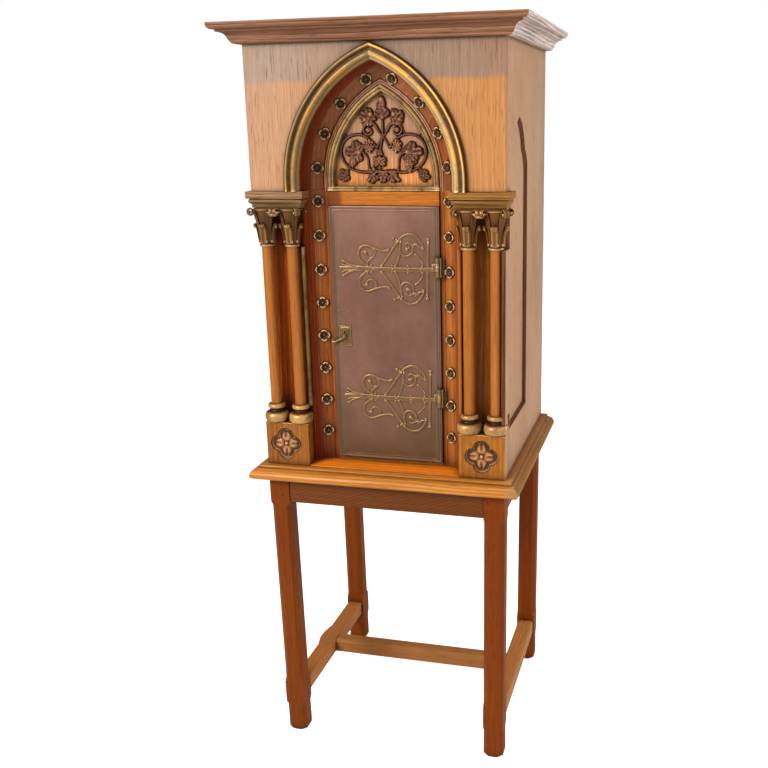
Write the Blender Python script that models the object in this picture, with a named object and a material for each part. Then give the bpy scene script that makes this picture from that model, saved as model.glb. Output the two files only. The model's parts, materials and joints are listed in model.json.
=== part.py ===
"""Neo-gothic oak tabernacle cabinet on its four-leg stand.

Part frame: metres, +Z up, the front looks along -Y and left is -X.  The origin is on the
floor, under the centre of the whole object's box.  Heights are measured from the floor.
Depths (y in all tables and meshes) are measured back from the cabinet's front plane;
finish() moves them to the part frame.  Most paired pieces are drawn for the right side
(+X) and mirrored by side = -1 or 1.
"""
import math

import bpy
import bmesh
from mathutils import Vector

for item in list(bpy.data.objects):
    bpy.data.objects.remove(item, do_unlink=True)

# ---------------------------------------------------------------- driving dimensions
GAP = 0.0003            # fitting gap between neighbouring pieces
SIDES = (("left", -1), ("right", 1))

HEIGHT = 1.7200         # overall
CASE_HALF = 0.2878      # half width of the carcass
CASE_DEPTH = 0.5370
CORNICE_OUT = 0.0558    # cornice overhang, front and sides
FRONT_Y = -(CASE_DEPTH - CORNICE_OUT) / 2   # carcass front plane in the part frame

# Levels, from the floor up
STAND_UNDER = 0.6918    # underside of the stand top
STAND_TOP = 0.7275
PEDESTAL_TOP = 0.8311
SHAFT_FOOT = 0.8700
CAPITAL_UNDER = 1.2437
IMPOST_UNDER = 1.3315
IMPOST_TOP = 1.3675     # the arch rises from here
CORNICE_UNDER = 1.6764
LID_UNDER = 1.6997
CASE_Z0, CASE_Z1 = STAND_TOP + GAP, LID_UNDER - GAP   # boards between stand and lid
ARCH_FOOT = IMPOST_TOP + GAP

# Carcass boards
SIDE_T = 0.0240
HEAD_T = 0.0220
INNER_HALF = CASE_HALF - SIDE_T - GAP   # limit for boards between the sides
SIDE_FRONT = 0.0541     # the sides start here behind the columns
BOARD_REAR = 0.0760     # rear face of the boards around the opening
BACK_FRONT = 0.5125     # front face of the back panel

# Arch: each side is struck from a centre beyond the middle line
ARCH_CENTRE_X = 0.10114
ARCH_CENTRE_Z = 1.3855
ARCH_R = 0.30714        # radius of the outermost arch line
ARCH_HALF = 0.2060      # half span of that line


# ---------------------------------------------------------------- materials
MATERIALS = {}


def material(name, rgb, roughness, metallic=0.0):
    if name not in MATERIALS:
        made = bpy.data.materials.new(name)
        made.use_nodes = True
        shader = made.node_tree.nodes["Principled BSDF"]
        shader.inputs["Base Color"].default_value = (*rgb, 1.0)
        shader.inputs["Roughness"].default_value = roughness
        shader.inputs["Metallic"].default_value = metallic
        MATERIALS[name] = made
    return MATERIALS[name]


def oak(name, shade=1.0):
    rgb = (0.36 * shade, 0.165 * shade, 0.055 * shade)
    return material("oak_" + name, rgb, roughness=0.42)


def stand_oak(name):
    return oak("stand_" + name, shade=0.72)


def gilt(name):
    return material("gilt_" + name, (0.50, 0.36, 0.17), roughness=0.35, metallic=0.8)


def brass(name, shade=1.0):
    rgb = (0.42 * shade, 0.31 * shade, 0.17 * shade)
    return material("brass_" + name, rgb, roughness=0.38, metallic=0.9)


def carving():
    return material("carving", (0.20, 0.085, 0.04), roughness=0.45)


def tool_grey():
    return material("tool", (0.5, 0.5, 0.5), roughness=0.5)


# ---------------------------------------------------------------- mesh helpers
def finish(name, bm, surface, origin=None, smooth=False):
    """Turns a bmesh into a named object and moves it from the front plane to the part frame."""
    bmesh.ops.remove_doubles(bm, verts=bm.verts, dist=1e-6)
    bmesh.ops.recalc_face_normals(bm, faces=bm.faces)
    place = Vector()
    if origin:
        place = Vector((origin[0], origin[1] + FRONT_Y, origin[2]))
    for vert in bm.verts:
        vert.co.y += FRONT_Y
        vert.co -= place
    mesh = bpy.data.meshes.new(name)
    bm.to_mesh(mesh)
    bm.free()
    piece = bpy.data.objects.new(name, mesh)
    piece.location = place
    bpy.context.scene.collection.objects.link(piece)
    mesh.materials.append(surface)
    if smooth:
        mesh.shade_smooth()
        mesh.set_sharp_from_angle(angle=math.radians(35))
    return piece


def loft(rings, closed=False):
    """Solid through rings of equal point counts; ends are capped, or joined when closed."""
    bm = bmesh.new()
    loops = [[bm.verts.new(point) for point in ring] for ring in rings]
    count = len(rings[0])
    pairs = list(zip(loops[:-1], loops[1:]))
    if closed:
        pairs.append((loops[-1], loops[0]))
    for a, b in pairs:
        for i in range(count):
            j = (i + 1) % count
            bm.faces.new((a[i], a[j], b[j], b[i]))
    if not closed:
        bm.faces.new(list(reversed(loops[0])))
        bm.faces.new(loops[-1])
    return bm


def prism_x(outline, x0, x1):
    return loft([[(x, y, z) for y, z in outline] for x in (x0, x1)])


def prism_y(outline, y0, y1):
    return loft([[(x, y, z) for x, z in outline] for y in (y0, y1)])


def prism_z(outline, z0, z1):
    return loft([[(x, y, z) for x, y in outline] for z in (z0, z1)])


def block(x0, x1, y0, y1, z0, z1):
    return prism_z([(x0, y0), (x1, y0), (x1, y1), (x0, y1)], z0, z1)


def side_block(side, x0, x1, y0, y1, z0, z1):
    """Block given for the right side and placed on either."""
    return block(*sorted((side * x0, side * x1)), y0, y1, z0, z1)


def mirrored(outline, side):
    return [(side * x, other) for x, other in outline]


def circle(centre_a, centre_b, radius, segments):
    angles = [2 * math.pi * i / segments for i in range(segments)]
    return [(centre_a + radius * math.cos(t), centre_b + radius * math.sin(t)) for t in angles]


def lathe(profile, x, y, segments):
    """Turned piece about a vertical axis; profile is (radius, z) from bottom to top."""
    return loft([[(px, py, z) for px, py in circle(x, y, radius, segments)]
                 for radius, z in profile])


def rod_y(x, z, radius, y0, y1, segments=14):
    return prism_y(circle(x, z, radius, segments), y0, y1)


def joined(parts):
    whole = bmesh.new()
    for part in parts:
        mesh = bpy.data.meshes.new("tmp")
        part.to_mesh(mesh)
        part.free()
        whole.from_mesh(mesh)
        bpy.data.meshes.remove(mesh)
    return whole


def bevel(piece, width):
    modifier = piece.modifiers.new("arris", "BEVEL")
    modifier.width = width
    modifier.segments = 1
    modifier.limit_method = "ANGLE"
    modifier.angle_limit = math.radians(40)
    modifier.use_clamp_overlap = True


def tool(name, bm):
    """Hidden helper that only feeds a Boolean."""
    helper = finish("tool_" + name, bm, tool_grey())
    helper.hide_render = True
    helper.display_type = "WIRE"
    return helper


def boolean(piece, helper, operation):
    modifier = piece.modifiers.new(operation.lower(), "BOOLEAN")
    modifier.operation = operation
    modifier.solver = "EXACT"
    modifier.object = helper


def cut(piece, name, bm):
    boolean(piece, tool(name, bm), "DIFFERENCE")


def fuse(piece, name, bm):
    boolean(piece, tool(name, bm), "UNION")


# ---------------------------------------------------------------- arch lines
def arch_radius(half_span):
    return ARCH_R - (ARCH_HALF - half_span)


def arch_line(half_span, foot_z, steps=10):
    """Concentric pointed arch line as (x, z), from the right foot over the apex to the left."""
    radius = arch_radius(half_span)
    apex = math.acos(ARCH_CENTRE_X / radius)
    right = [(half_span, foot_z)]
    for i in range(steps + 1):
        t = apex * i / steps
        right.append((radius * math.cos(t) - ARCH_CENTRE_X,
                      ARCH_CENTRE_Z + radius * math.sin(t)))
    right[-1] = (0.0, right[-1][1])
    return right + [(-x, z) for x, z in reversed(right[:-1])]


def arch_band(section, foot_z):
    """Sweeps a section of (half span, depth) points along the arch."""
    lines = [arch_line(half_span, foot_z) for half_span, _ in section]
    return loft([[(x, y, z) for (x, z), (_, y) in zip(points, section)]
                 for points in zip(*lines)])


# ================================================================ the stand
STAND_OUT = 0.0364      # stand top overhang, front and sides

LEG = 0.0490            # square leg stock
LEG_X = 0.2872          # outer face of the legs
LEG_Y0 = -0.0023        # front face of the front legs
LEG_Y1 = 0.5240         # rear face of the rear legs
LEG_INNER = LEG_X - LEG
LEG_LEAN_X = {-1: 0.0085, 1: 0.0045}    # inward lean at the floor, by side
LEG_LEAN_Y = 0.0039                     # the same, front to back
LEG_CHAMFER = 0.0095
LEG_MIN_CHAMFER = 0.0006
# (height, chamfer, inset of the faces): foot, stretcher block, shaft, apron block
LEG_LEVELS = [
    (0.0000, 0.0115, 0.0035), (0.0060, LEG_CHAMFER, 0.0), (0.0700, LEG_CHAMFER, 0.0),
    (0.0810, 0.0, 0.0), (0.1360, 0.0, 0.0),
    (0.1480, LEG_CHAMFER, 0.0), (0.6180, LEG_CHAMFER, 0.0),
    (0.6290, 0.0, 0.0), (STAND_UNDER - GAP, 0.0, 0.0)]

APRON_Z0, APRON_Z1 = 0.6310, STAND_UNDER - GAP
APRON_T = 0.0200
APRON_BEVEL = 0.0012
APRON_FRONT_Y = 0.0002
APRON_REAR_SET = 0.0060     # rear apron behind the legs' rear face
APRON_SIDE_SET = 0.0050     # side aprons inside the legs' outer face

STRETCHER_Z0, STRETCHER_Z1 = 0.0880, 0.1250
STRETCHER_X = {-1: (0.2365, 0.2770), 1: (0.2390, 0.2805)}   # inner and outer face, by side
STRETCHER_CHAMFER = 0.0040
STRETCHER_LEAN_Z = 0.10     # level at which the legs' lean is taken for the ends
STRETCHER_END_GAP = 0.0006
LEGS_MID_Y = (LEG_Y0 + LEG_Y1) / 2
SWELL_Y = LEGS_MID_Y + 0.012
# (distance from SWELL_Y, outward swell) on the left stretcher
SWELL = [(-0.052, 0), (-0.036, 0.0040), (-0.018, 0.0078), (0, 0.0088),
         (0.018, 0.0078), (0.036, 0.0040), (0.052, 0)]
CROSS_Y = LEGS_MID_Y + 0.0100
CROSS_HALF = 0.0215
CROSS_CHAMFER = 0.0080
CROSS_Z0, CROSS_Z1 = STRETCHER_Z0 + 0.0008, STRETCHER_Z1 - 0.0004

# (overhang, z) of the moulded edge
STAND_TOP_EDGE = [
    (0.0215, STAND_UNDER), (0.0305, 0.6978), (0.0350, 0.7002), (STAND_OUT, 0.7032),
    (STAND_OUT, 0.7062), (0.0352, 0.7108), (0.0322, 0.7150), (0.0277, 0.7182),
    (0.0226, 0.7201), (0.0178, 0.7211), (0.0164, 0.7226), (0.0185, 0.7238),
    (0.0188, 0.7252), (0.0184, 0.7268), (0.0172, STAND_TOP)]


def lean_at(floor_lean, z):
    """Inward lean of a leg at height z; it fades to nothing under the stand top."""
    return floor_lean * (1 - z / STAND_UNDER)


def leg(name, side, rear):
    """Square leg with stopped chamfers on its arrises."""
    centre_y = LEG_Y1 - LEG / 2 if rear else LEG_Y0 + LEG / 2
    rings = []
    for z, chamfer, inset in LEG_LEVELS:
        lean_y = lean_at(LEG_LEAN_Y, z)
        cx = side * (LEG_X - LEG / 2 - lean_at(LEG_LEAN_X[side], z))
        cy = centre_y + (-lean_y if rear else lean_y)
        h = LEG / 2 - inset
        e = h - max(chamfer, LEG_MIN_CHAMFER)
        octagon = [(-e, -h), (e, -h), (h, -e), (h, e), (e, h), (-e, h), (-h, e), (-h, -e)]
        rings.append([(cx + x, cy + y, z) for x, y in octagon])
    finish(name, loft(rings), stand_oak(name))


def cross_apron(name, y0):
    """Apron from left leg to right leg, cut to their lean."""
    left, right = (LEG_INNER - lean_at(LEG_LEAN_X[side], APRON_Z0) - GAP for side in (-1, 1))
    top = LEG_INNER - GAP
    outline = [(-left, APRON_Z0), (right, APRON_Z0), (top, APRON_Z1), (-top, APRON_Z1)]
    piece = finish(name, prism_y(outline, y0, y0 + APRON_T), stand_oak(name))
    bevel(piece, APRON_BEVEL)


def side_apron(name, side):
    """Apron from front leg to rear leg, cut to their lean."""
    lean = lean_at(LEG_LEAN_Y, APRON_Z0)
    front, rear = LEG_Y0 + LEG, LEG_Y1 - LEG
    outline = [(front + lean + GAP, APRON_Z0), (rear - lean - GAP, APRON_Z0),
               (rear - GAP, APRON_Z1), (front + GAP, APRON_Z1)]
    outer = LEG_X - APRON_SIDE_SET
    bm = prism_x(outline, side * (outer - APRON_T), side * outer)
    bevel(finish(name, bm, stand_oak(name)), APRON_BEVEL)


def side_stretcher(name, side):
    """Flat rail between the legs of one side; the left one swells outward near its middle."""
    inner, outer = STRETCHER_X[side]
    end = LEG + lean_at(LEG_LEAN_Y, STRETCHER_LEAN_Z) + STRETCHER_END_GAP
    stations = [(LEG_Y0 + end, 0)] + [(SWELL_Y + dy, swell) for dy, swell in SWELL]
    stations.append((LEG_Y1 - end, 0))
    c, z0, z1 = STRETCHER_CHAMFER, STRETCHER_Z0, STRETCHER_Z1
    rings = []
    for y, swell in stations:
        face = outer + (swell if side < 0 else 0.0)
        section = [(inner, z0), (face, z0), (face, z1 - c), (face - c, z1),
                   (inner + c, z1), (inner, z1 - c)]
        rings.append([(side * x, y, z) for x, z in section])
    finish(name, loft(rings), stand_oak(name))


def cross_stretcher():
    y0, y1 = CROSS_Y - CROSS_HALF, CROSS_Y + CROSS_HALF
    shoulder = STRETCHER_Z1 - CROSS_CHAMFER
    section = [(y0, CROSS_Z0), (y1, CROSS_Z0), (y1, shoulder), (y1 - CROSS_CHAMFER, CROSS_Z1),
               (y0 + CROSS_CHAMFER, CROSS_Z1), (y0, shoulder)]
    left, right = STRETCHER_X[-1][0] - GAP, STRETCHER_X[1][0] - GAP
    finish("stretcher_cross", prism_x(section, -left, right), stand_oak("cross"))


def stand_top():
    """Board with a moulded edge in front and at the sides; its rear is flush."""
    rings = []
    for out, z in STAND_TOP_EDGE:
        half = CASE_HALF + out
        rings.append([(-half, -out, z), (half, -out, z),
                      (half, CASE_DEPTH, z), (-half, CASE_DEPTH, z)])
    finish("stand_top", loft(rings), oak("stand_top", 1.15))


for side_name, side in SIDES:
    leg("leg_front_" + side_name, side, rear=False)
    leg("leg_rear_" + side_name, side, rear=True)
    side_apron("apron_" + side_name, side)
    side_stretcher("stretcher_" + side_name, side)
cross_apron("apron_front", APRON_FRONT_Y)
cross_apron("apron_rear", LEG_Y1 - APRON_REAR_SET - APRON_T)
cross_stretcher()
stand_top()

# ================================================================ the cabinet carcass
# Recess in the outer face of each side
RECESS_Y0, RECESS_Y1 = 0.0570, 0.2760
RECESS_MID_Y = (RECESS_Y0 + RECESS_Y1) / 2
RECESS_Z0 = 0.8330
RECESS_SPRING, RECESS_APEX = 1.3950, 1.5210
RECESS_CUSP = (0.0745, 1.4475)      # (distance from the middle, z)
RECESS_BOW = 0.0137                 # bow of the crown lobes
RECESS_STEPS = 5                    # per lobe
RECESS_DEPTH = 0.0095
RECESS_OVERCUT = 0.004              # the cutter stands this far out of the face
FLOOR_SHRINK_Y, FLOOR_SHRINK_Z, FLOOR_RAISE = 0.955, 0.985, 0.005   # recess floor outline

FILLET_X = 0.2788                   # inner face of the right side's front fillet
FILLET_Y0 = 0.0040
FILLET_LAP = 0.004                  # reach of the fillet into the side board
FILLET_Z0, FILLET_Z1 = 0.8722, CAPITAL_UNDER - GAP

# Stepped front edge shared by the case floor and the transom rail
LIP_HALF, LIP_REAR = 0.1292, 0.0777
TONGUE_HALF = 0.1217
FLOOR_LIP_Y, FLOOR_BOARD_Y, FLOOR_TOP = 0.0640, 0.0905, 0.7366

# (overhang, z)
CORNICE = [
    (GAP, CORNICE_UNDER + 0.0012), (0.0095, CORNICE_UNDER + 0.0012), (0.0150, 1.6791),
    (0.0190, 1.6822), (0.0198, 1.6852), (0.0216, 1.6868), (0.0230, 1.6906),
    (0.0260, 1.6954), (0.0304, 1.6992), (0.0349, 1.7010), (0.0412, 1.7018),
    (0.0416, 1.7062), (0.0500, 1.7069), (0.0534, 1.7100), (0.0554, 1.7147),
    (CORNICE_OUT, 1.7185), (0.0550, HEIGHT), (GAP, HEIGHT)]
MITRE_GAP = 0.0002

HEAD_CUT_HALF = 0.1862
HEAD_CUT_STEPS = 12
HEAD_CUT_Y = (-0.01, 0.04)
HEAD_CUT_DROP = 0.02                # the cutter starts this far below the imposts' top


def recess_outline():
    """Pointed trefoil head over straight sides, as (y, z) points."""
    half = (RECESS_Y1 - RECESS_Y0) / 2
    cusp_y, cusp_z = RECESS_CUSP
    # Shoulder lobe: an arc tangent to the straight side, ending at the cusp
    run, rise = half - cusp_y, cusp_z - RECESS_SPRING
    radius = (run * run + rise * rise) / (2 * run)
    sweep = math.atan2(rise, radius - run)
    right = [(half, RECESS_Z0)]
    for i in range(RECESS_STEPS + 1):
        t = sweep * i / RECESS_STEPS
        right.append((half - radius + radius * math.cos(t),
                      RECESS_SPRING + radius * math.sin(t)))
    # Crown lobe: a bowed line from the cusp to the apex
    dy, dz = -cusp_y, RECESS_APEX - cusp_z
    length = math.hypot(dy, dz)
    for i in range(1, RECESS_STEPS + 1):
        u = i / RECESS_STEPS
        bow = RECESS_BOW * 4 * u * (1 - u)
        right.append((cusp_y + dy * u + bow * dz / length, cusp_z + dz * u - bow * dy / length))
    right[-1] = (0.0, RECESS_APEX)
    left = [(-y, z) for y, z in reversed(right[:-1])]
    return [(RECESS_MID_Y + y, z) for y, z in right + left]


def side_panel(name, side):
    """Side board with its recess; the right one also has a fillet beside the outer shaft."""
    head_rear = HEAD_T + GAP
    outline = [(SIDE_FRONT, CASE_Z0), (CASE_DEPTH, CASE_Z0), (CASE_DEPTH, CASE_Z1),
               (head_rear, CASE_Z1), (head_rear, ARCH_FOOT), (SIDE_FRONT, ARCH_FOOT)]
    bm = prism_x(outline, side * (CASE_HALF - SIDE_T), side * CASE_HALF)
    panel = finish(name, bm, oak(name, 0.92))
    if side > 0:
        fuse(panel, name + "_strip", block(FILLET_X, CASE_HALF, FILLET_Y0,
                                           SIDE_FRONT + FILLET_LAP, FILLET_Z0, FILLET_Z1))
    mouth = recess_outline()
    bottom = [(RECESS_MID_Y + (y - RECESS_MID_Y) * FLOOR_SHRINK_Y,
               RECESS_Z0 + FLOOR_RAISE + (z - RECESS_Z0) * FLOOR_SHRINK_Z) for y, z in mouth]
    rings = [[(side * x, y, z) for y, z in outline]
             for x, outline in ((CASE_HALF - RECESS_DEPTH, bottom), (CASE_HALF, mouth),
                                (CASE_HALF + RECESS_OVERCUT, mouth))]
    cut(panel, name + "_recess", loft(rings))


def back_panel():
    finish("back_panel", block(-INNER_HALF, INNER_HALF, BACK_FRONT, CASE_DEPTH,
                               CASE_Z0, CASE_Z1), oak("back", 0.8))


def case_floor():
    rear = BACK_FRONT - GAP
    outline = [(-LIP_HALF, FLOOR_LIP_Y), (LIP_HALF, FLOOR_LIP_Y), (LIP_HALF, LIP_REAR),
               (TONGUE_HALF, LIP_REAR), (TONGUE_HALF, FLOOR_BOARD_Y),
               (INNER_HALF, FLOOR_BOARD_Y), (INNER_HALF, rear), (-INNER_HALF, rear),
               (-INNER_HALF, FLOOR_BOARD_Y), (-TONGUE_HALF, FLOOR_BOARD_Y),
               (-TONGUE_HALF, LIP_REAR), (-LIP_HALF, LIP_REAR)]
    finish("case_floor", prism_z(outline, CASE_Z0, FLOOR_TOP), oak("floor"))


def case_lid():
    finish("case_lid", block(-CASE_HALF, CASE_HALF, 0.0, CASE_DEPTH, LID_UNDER, HEIGHT),
           oak("lid", 0.95))


def cornice():
    """One moulded length in front and one down each side, mitred."""
    front = [[(side * (CASE_HALF + out - MITRE_GAP), -out, z) for out, z in CORNICE]
             for _, side in SIDES]
    finish("cornice_front", loft(front), oak("cornice_front", 1.05))
    for side_name, side in SIDES:
        name = "cornice_" + side_name
        mitre = [(side * (CASE_HALF + out), -out + MITRE_GAP, z) for out, z in CORNICE]
        rear = [(side * (CASE_HALF + out), CASE_DEPTH, z) for out, z in CORNICE]
        finish(name, loft([mitre, rear]), oak(name))


def head_panel():
    """Front board above the imposts with the arched opening."""
    head = finish("head_panel", block(-CASE_HALF, CASE_HALF, 0.0, HEAD_T, ARCH_FOOT, CASE_Z1),
                  oak("head_panel"))
    opening = arch_line(HEAD_CUT_HALF, IMPOST_TOP - HEAD_CUT_DROP, HEAD_CUT_STEPS)
    cut(head, "head_cut", prism_y(opening, *HEAD_CUT_Y))


for side_name, side in SIDES:
    side_panel("side_panel_" + side_name, side)
back_panel()
case_floor()
case_lid()
cornice()
head_panel()

# ================================================================ arch mouldings, rosettes
# (half span, depth): a roll standing proud of the head panel and closing its edge
HOOD = [(ARCH_HALF, -0.0003), (0.2052, -0.0040), (0.1995, -0.0085), (0.1900, -0.0110),
        (0.1810, -0.0095), (0.1750, -0.0050), (0.1722, 0.0020), (0.1722, 0.0300),
        (0.1857, 0.0300), (0.1857, -0.0003)]

# Splay running back and inward, the same on the jambs and around the arch
JAMB_INNER, JAMB_OUTER = 0.1765, 0.1867
SPLAY_FRONT = 0.0333
FACE_OUTER = (0.1655, 0.0520)       # (x, depth) ends of the face that carries the rosettes
FACE_INNER = (0.1390, 0.0640)
SPLAY = [(JAMB_INNER, SPLAY_FRONT), FACE_OUTER, FACE_INNER, (FACE_INNER[0], BOARD_REAR)]
BAND_OUTER = 0.1800

ROSETTE_X = 0.1528
ROSETTE_Y = FACE_OUTER[1] + (FACE_INNER[1] - FACE_OUTER[1]) * (
    (ROSETTE_X - FACE_OUTER[0]) / (FACE_INNER[0] - FACE_OUTER[0]))
ROSETTE_R = 0.0134
ROSETTE_BACK, ROSETTE_RISE = -0.003, 0.0055     # reach into and out of the face
ROSETTE_CROWN = 0.62                # front radius as a share of the full one
ROSETTE_SEGMENTS = 10
ROSETTE_TILT = (0.41, 0.91)         # inward and forward parts of the rosettes' direction
ROSETTE_TOP_Z, ROSETTE_PITCH, ROSETTE_COUNT = 1.3424, 0.0772, 8     # on each jamb
ARCH_ROSETTE_DEG = (6.9, 24.2, 41.2, 59.0)      # about the arch centre

# Clearance for the pedestal in the rosette board: x0, x1, y0, y1, z0, z1
PEDESTAL_CLEAR = (0.1804, 0.1950, 0.020, 0.0538, STAND_TOP - 0.01, PEDESTAL_TOP + GAP)

ROLL_Y = 0.0262                     # centre of the jamb roll's rounded front
ROLL_STEPS = 6
ROLL_Z0, ROLL_Z1 = SHAFT_FOOT + 0.0015, CAPITAL_UNDER - 0.0010


def rosette(side, x, z, angle=0.0):
    """Round button on the splayed face, facing forward and toward the arch centre."""
    inward, forward = ROSETTE_TILT
    axis = Vector((-side * inward * math.cos(angle), -forward, -inward * math.sin(angle)))
    axis = axis.normalized()
    u = axis.orthogonal().normalized()
    v = axis.cross(u)
    centre = Vector((side * x, ROSETTE_Y, z))
    rings = []
    for reach, share in ((ROSETTE_BACK, 1.0), ((ROSETTE_BACK + ROSETTE_RISE) * 0.5, 1.0),
                         (ROSETTE_RISE, ROSETTE_CROWN)):
        ring = []
        for i in range(ROSETTE_SEGMENTS):
            t = 2 * math.pi * i / ROSETTE_SEGMENTS
            spoke = u * math.cos(t) + v * math.sin(t)
            ring.append(tuple(centre + axis * reach + spoke * ROSETTE_R * share))
        rings.append(ring)
    return loft(rings)


def arch_rosette_band():
    section = SPLAY + [(BAND_OUTER, BOARD_REAR), (BAND_OUTER, SPLAY_FRONT)]
    band = finish("arch_rosette_band", arch_band(section, ARCH_FOOT), oak("rosette_band"))
    radius = arch_radius(ROSETTE_X)
    buttons = []
    for _, side in SIDES:
        for degrees in ARCH_ROSETTE_DEG:
            t = math.radians(degrees)
            buttons.append(rosette(side, radius * math.cos(t) - ARCH_CENTRE_X,
                                   ARCH_CENTRE_Z + radius * math.sin(t), t))
    fuse(band, "arch_rosettes", joined(buttons))


def rosette_board(side_name, side):
    outline = SPLAY + [(JAMB_OUTER, BOARD_REAR), (JAMB_OUTER, SPLAY_FRONT)]
    board = finish("rosette_board_" + side_name,
                   prism_z(mirrored(outline, side), CASE_Z0, IMPOST_TOP - GAP),
                   oak("rosette_board"))
    cut(board, "ped_clear_" + side_name, side_block(side, *PEDESTAL_CLEAR))
    fuse(board, "rosettes_" + side_name,
         joined([rosette(side, ROSETTE_X, ROSETTE_TOP_Z - i * ROSETTE_PITCH)
                 for i in range(ROSETTE_COUNT)]))


def jamb_roll(side_name, side):
    """Narrow roll between the inner shaft and the splay."""
    centre, radius = (JAMB_INNER + JAMB_OUTER) / 2, (JAMB_OUTER - JAMB_INNER) / 2
    rear = SPLAY_FRONT - GAP
    outline = [(JAMB_INNER, rear), (JAMB_INNER, ROLL_Y)]
    for i in range(1, ROLL_STEPS):
        t = math.pi - math.pi * i / ROLL_STEPS
        outline.append((centre + radius * math.cos(t), ROLL_Y - radius * math.sin(t)))
    outline += [(JAMB_OUTER, ROLL_Y), (JAMB_OUTER, rear)]
    finish("jamb_roll_" + side_name, prism_z(mirrored(outline, side), ROLL_Z0, ROLL_Z1),
           gilt("jamb_roll"))


finish("arch_hood", arch_band(HOOD, ARCH_FOOT), gilt("hood"))
arch_rosette_band()
for side_name, side in SIDES:
    rosette_board(side_name, side)
    jamb_roll(side_name, side)

# ================================================================ pedestals and columns
COLUMN_X = (0.2033, 0.2644)         # inner and outer shaft axes
COLUMN_Y = 0.0172
SHAFT_R = 0.0125
SHAFT_SEGMENTS = 20                 # shafts and bases
CAPITAL_SEGMENTS = 16

CORNER_FRONT = 0.0455               # front face of the board behind the shafts

PEDESTAL_X0, PEDESTAL_REAR = 0.1808, 0.0535
QUATREFOIL_X, QUATREFOIL_Z = 0.2360, 0.7808
LOBE_OFFSET, LOBE_R = 0.0175, 0.0165
QUATREFOIL_STEPS = 32
QUATREFOIL_RINGS = [(-0.003, 1.0), (0.0002, 1.0), (0.0070, 0.86)]   # (depth, scale)
PETAL_STEPS = 24
PETAL_R, PETAL_SWING, PETAL_POWER = 0.0105, 0.0105, 0.8     # waist, extra at tips, shape
FLOWER_RINGS = [(0.0090, 0.8), (0.0030, 1.0), (0.0012, 0.5)]        # (depth, scale)

# (radius, z)
BASE = [(0.0240, PEDESTAL_TOP + GAP), (0.0266, 0.8360), (0.0275, 0.8430), (0.0262, 0.8495),
        (0.0215, 0.8535), (0.0178, 0.8560), (0.0168, 0.8600), (0.0185, 0.8622),
        (0.0190, 0.8650), (0.0178, 0.8680), (0.0150, SHAFT_FOOT - GAP)]
CAPITAL = [(0.0140, CAPITAL_UNDER), (0.0162, 1.2452), (0.0168, 1.2480), (0.0160, 1.2508),
           (0.0140, 1.2525), (0.0150, 1.2650), (0.0185, 1.2850), (0.0225, 1.3020),
           (0.0262, 1.3170), (0.0262, 1.3240)]
# Blocks as x0, x1, y0, y1, z0, z1
BASE_FOOT = (*COLUMN_X, 0.0080, 0.0270, PEDESTAL_TOP + 0.0006, 0.8352)
ABACUS = (0.1755, 0.2922, -0.0100, 0.0440, 1.3215, IMPOST_UNDER - GAP)
JAMB_CLEAR = (0.1600, 0.1872, 0.0328, 0.0600, PEDESTAL_TOP - 0.01, IMPOST_UNDER + 0.01)

IMPOST_X0, IMPOST_X1 = 0.1648, 0.3004
IMPOST_Y0, IMPOST_REAR = -0.0061, 0.0536
IMPOST_STEP = (0.2790, 0.0330)      # the rear edge steps forward inside this corner
# (z, inset of the front and the two ends): slab, hollow and fillet
IMPOST_LEVELS = [
    (IMPOST_UNDER, 0.0105), (1.3388, 0.0105), (1.3400, 0.0085), (1.3440, 0.0080),
    (1.3480, 0.0055), (1.3512, 0.0012), (1.3520, 0.0), (IMPOST_TOP - 0.0006, 0.0),
    (IMPOST_TOP, 0.0006)]


def corner_board(side_name, side):
    """Board behind the twin shafts."""
    x0, x1, lap = JAMB_OUTER + GAP, FILLET_X - GAP, SIDE_FRONT - GAP
    outline = [(x0, CORNER_FRONT), (x1, CORNER_FRONT), (x1, lap), (INNER_HALF, lap),
               (INNER_HALF, BOARD_REAR), (x0, BOARD_REAR)]
    finish("corner_board_" + side_name,
           prism_z(mirrored(outline, side), PEDESTAL_TOP + GAP, IMPOST_TOP - GAP),
           oak("corner_board", 0.6))


def quatrefoil():
    """Outline about its centre: the outer edge of four overlapping lobes."""
    points = []
    for i in range(QUATREFOIL_STEPS):
        a = 2 * math.pi * (i + 0.5) / QUATREFOIL_STEPS
        off = ((a + math.pi / 4) % (math.pi / 2)) - math.pi / 4    # angle from the lobe's axis
        r = LOBE_OFFSET * math.cos(off) + math.sqrt(LOBE_R ** 2 - (LOBE_OFFSET * math.sin(off)) ** 2)
        points.append((r * math.cos(a), r * math.sin(a)))
    return points


def flower():
    """Outline of four petals about their centre."""
    points = []
    for i in range(PETAL_STEPS):
        a = 2 * math.pi * i / PETAL_STEPS
        r = PETAL_R + PETAL_SWING * abs(math.cos(2 * a)) ** PETAL_POWER
        points.append((math.cos(a) * r, math.sin(a) * r))
    return points


def pedestal(side_name, side):
    """Block with a sunk quatrefoil and a flower in it."""
    piece = finish("pedestal_" + side_name,
                   side_block(side, PEDESTAL_X0, CASE_HALF, 0.0, PEDESTAL_REAR,
                              CASE_Z0, PEDESTAL_TOP), oak("pedestal", 1.05))

    def ornament(outline, rings):
        return loft([[(side * QUATREFOIL_X + x * scale, y, QUATREFOIL_Z + z * scale)
                      for x, z in outline] for y, scale in rings])

    cut(piece, "quatrefoil_" + side_name, ornament(quatrefoil(), QUATREFOIL_RINGS))
    fuse(piece, "flower_" + side_name, ornament(flower(), FLOWER_RINGS))


def twin_turning(side, name, second_name, profile, segments, surface):
    """Two turned members side by side, fused into one piece."""
    inner, outer = (lathe(profile, side * x, COLUMN_Y, segments) for x in COLUMN_X)
    piece = finish(name, inner, surface, smooth=True)
    fuse(piece, second_name, outer)
    return piece


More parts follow.
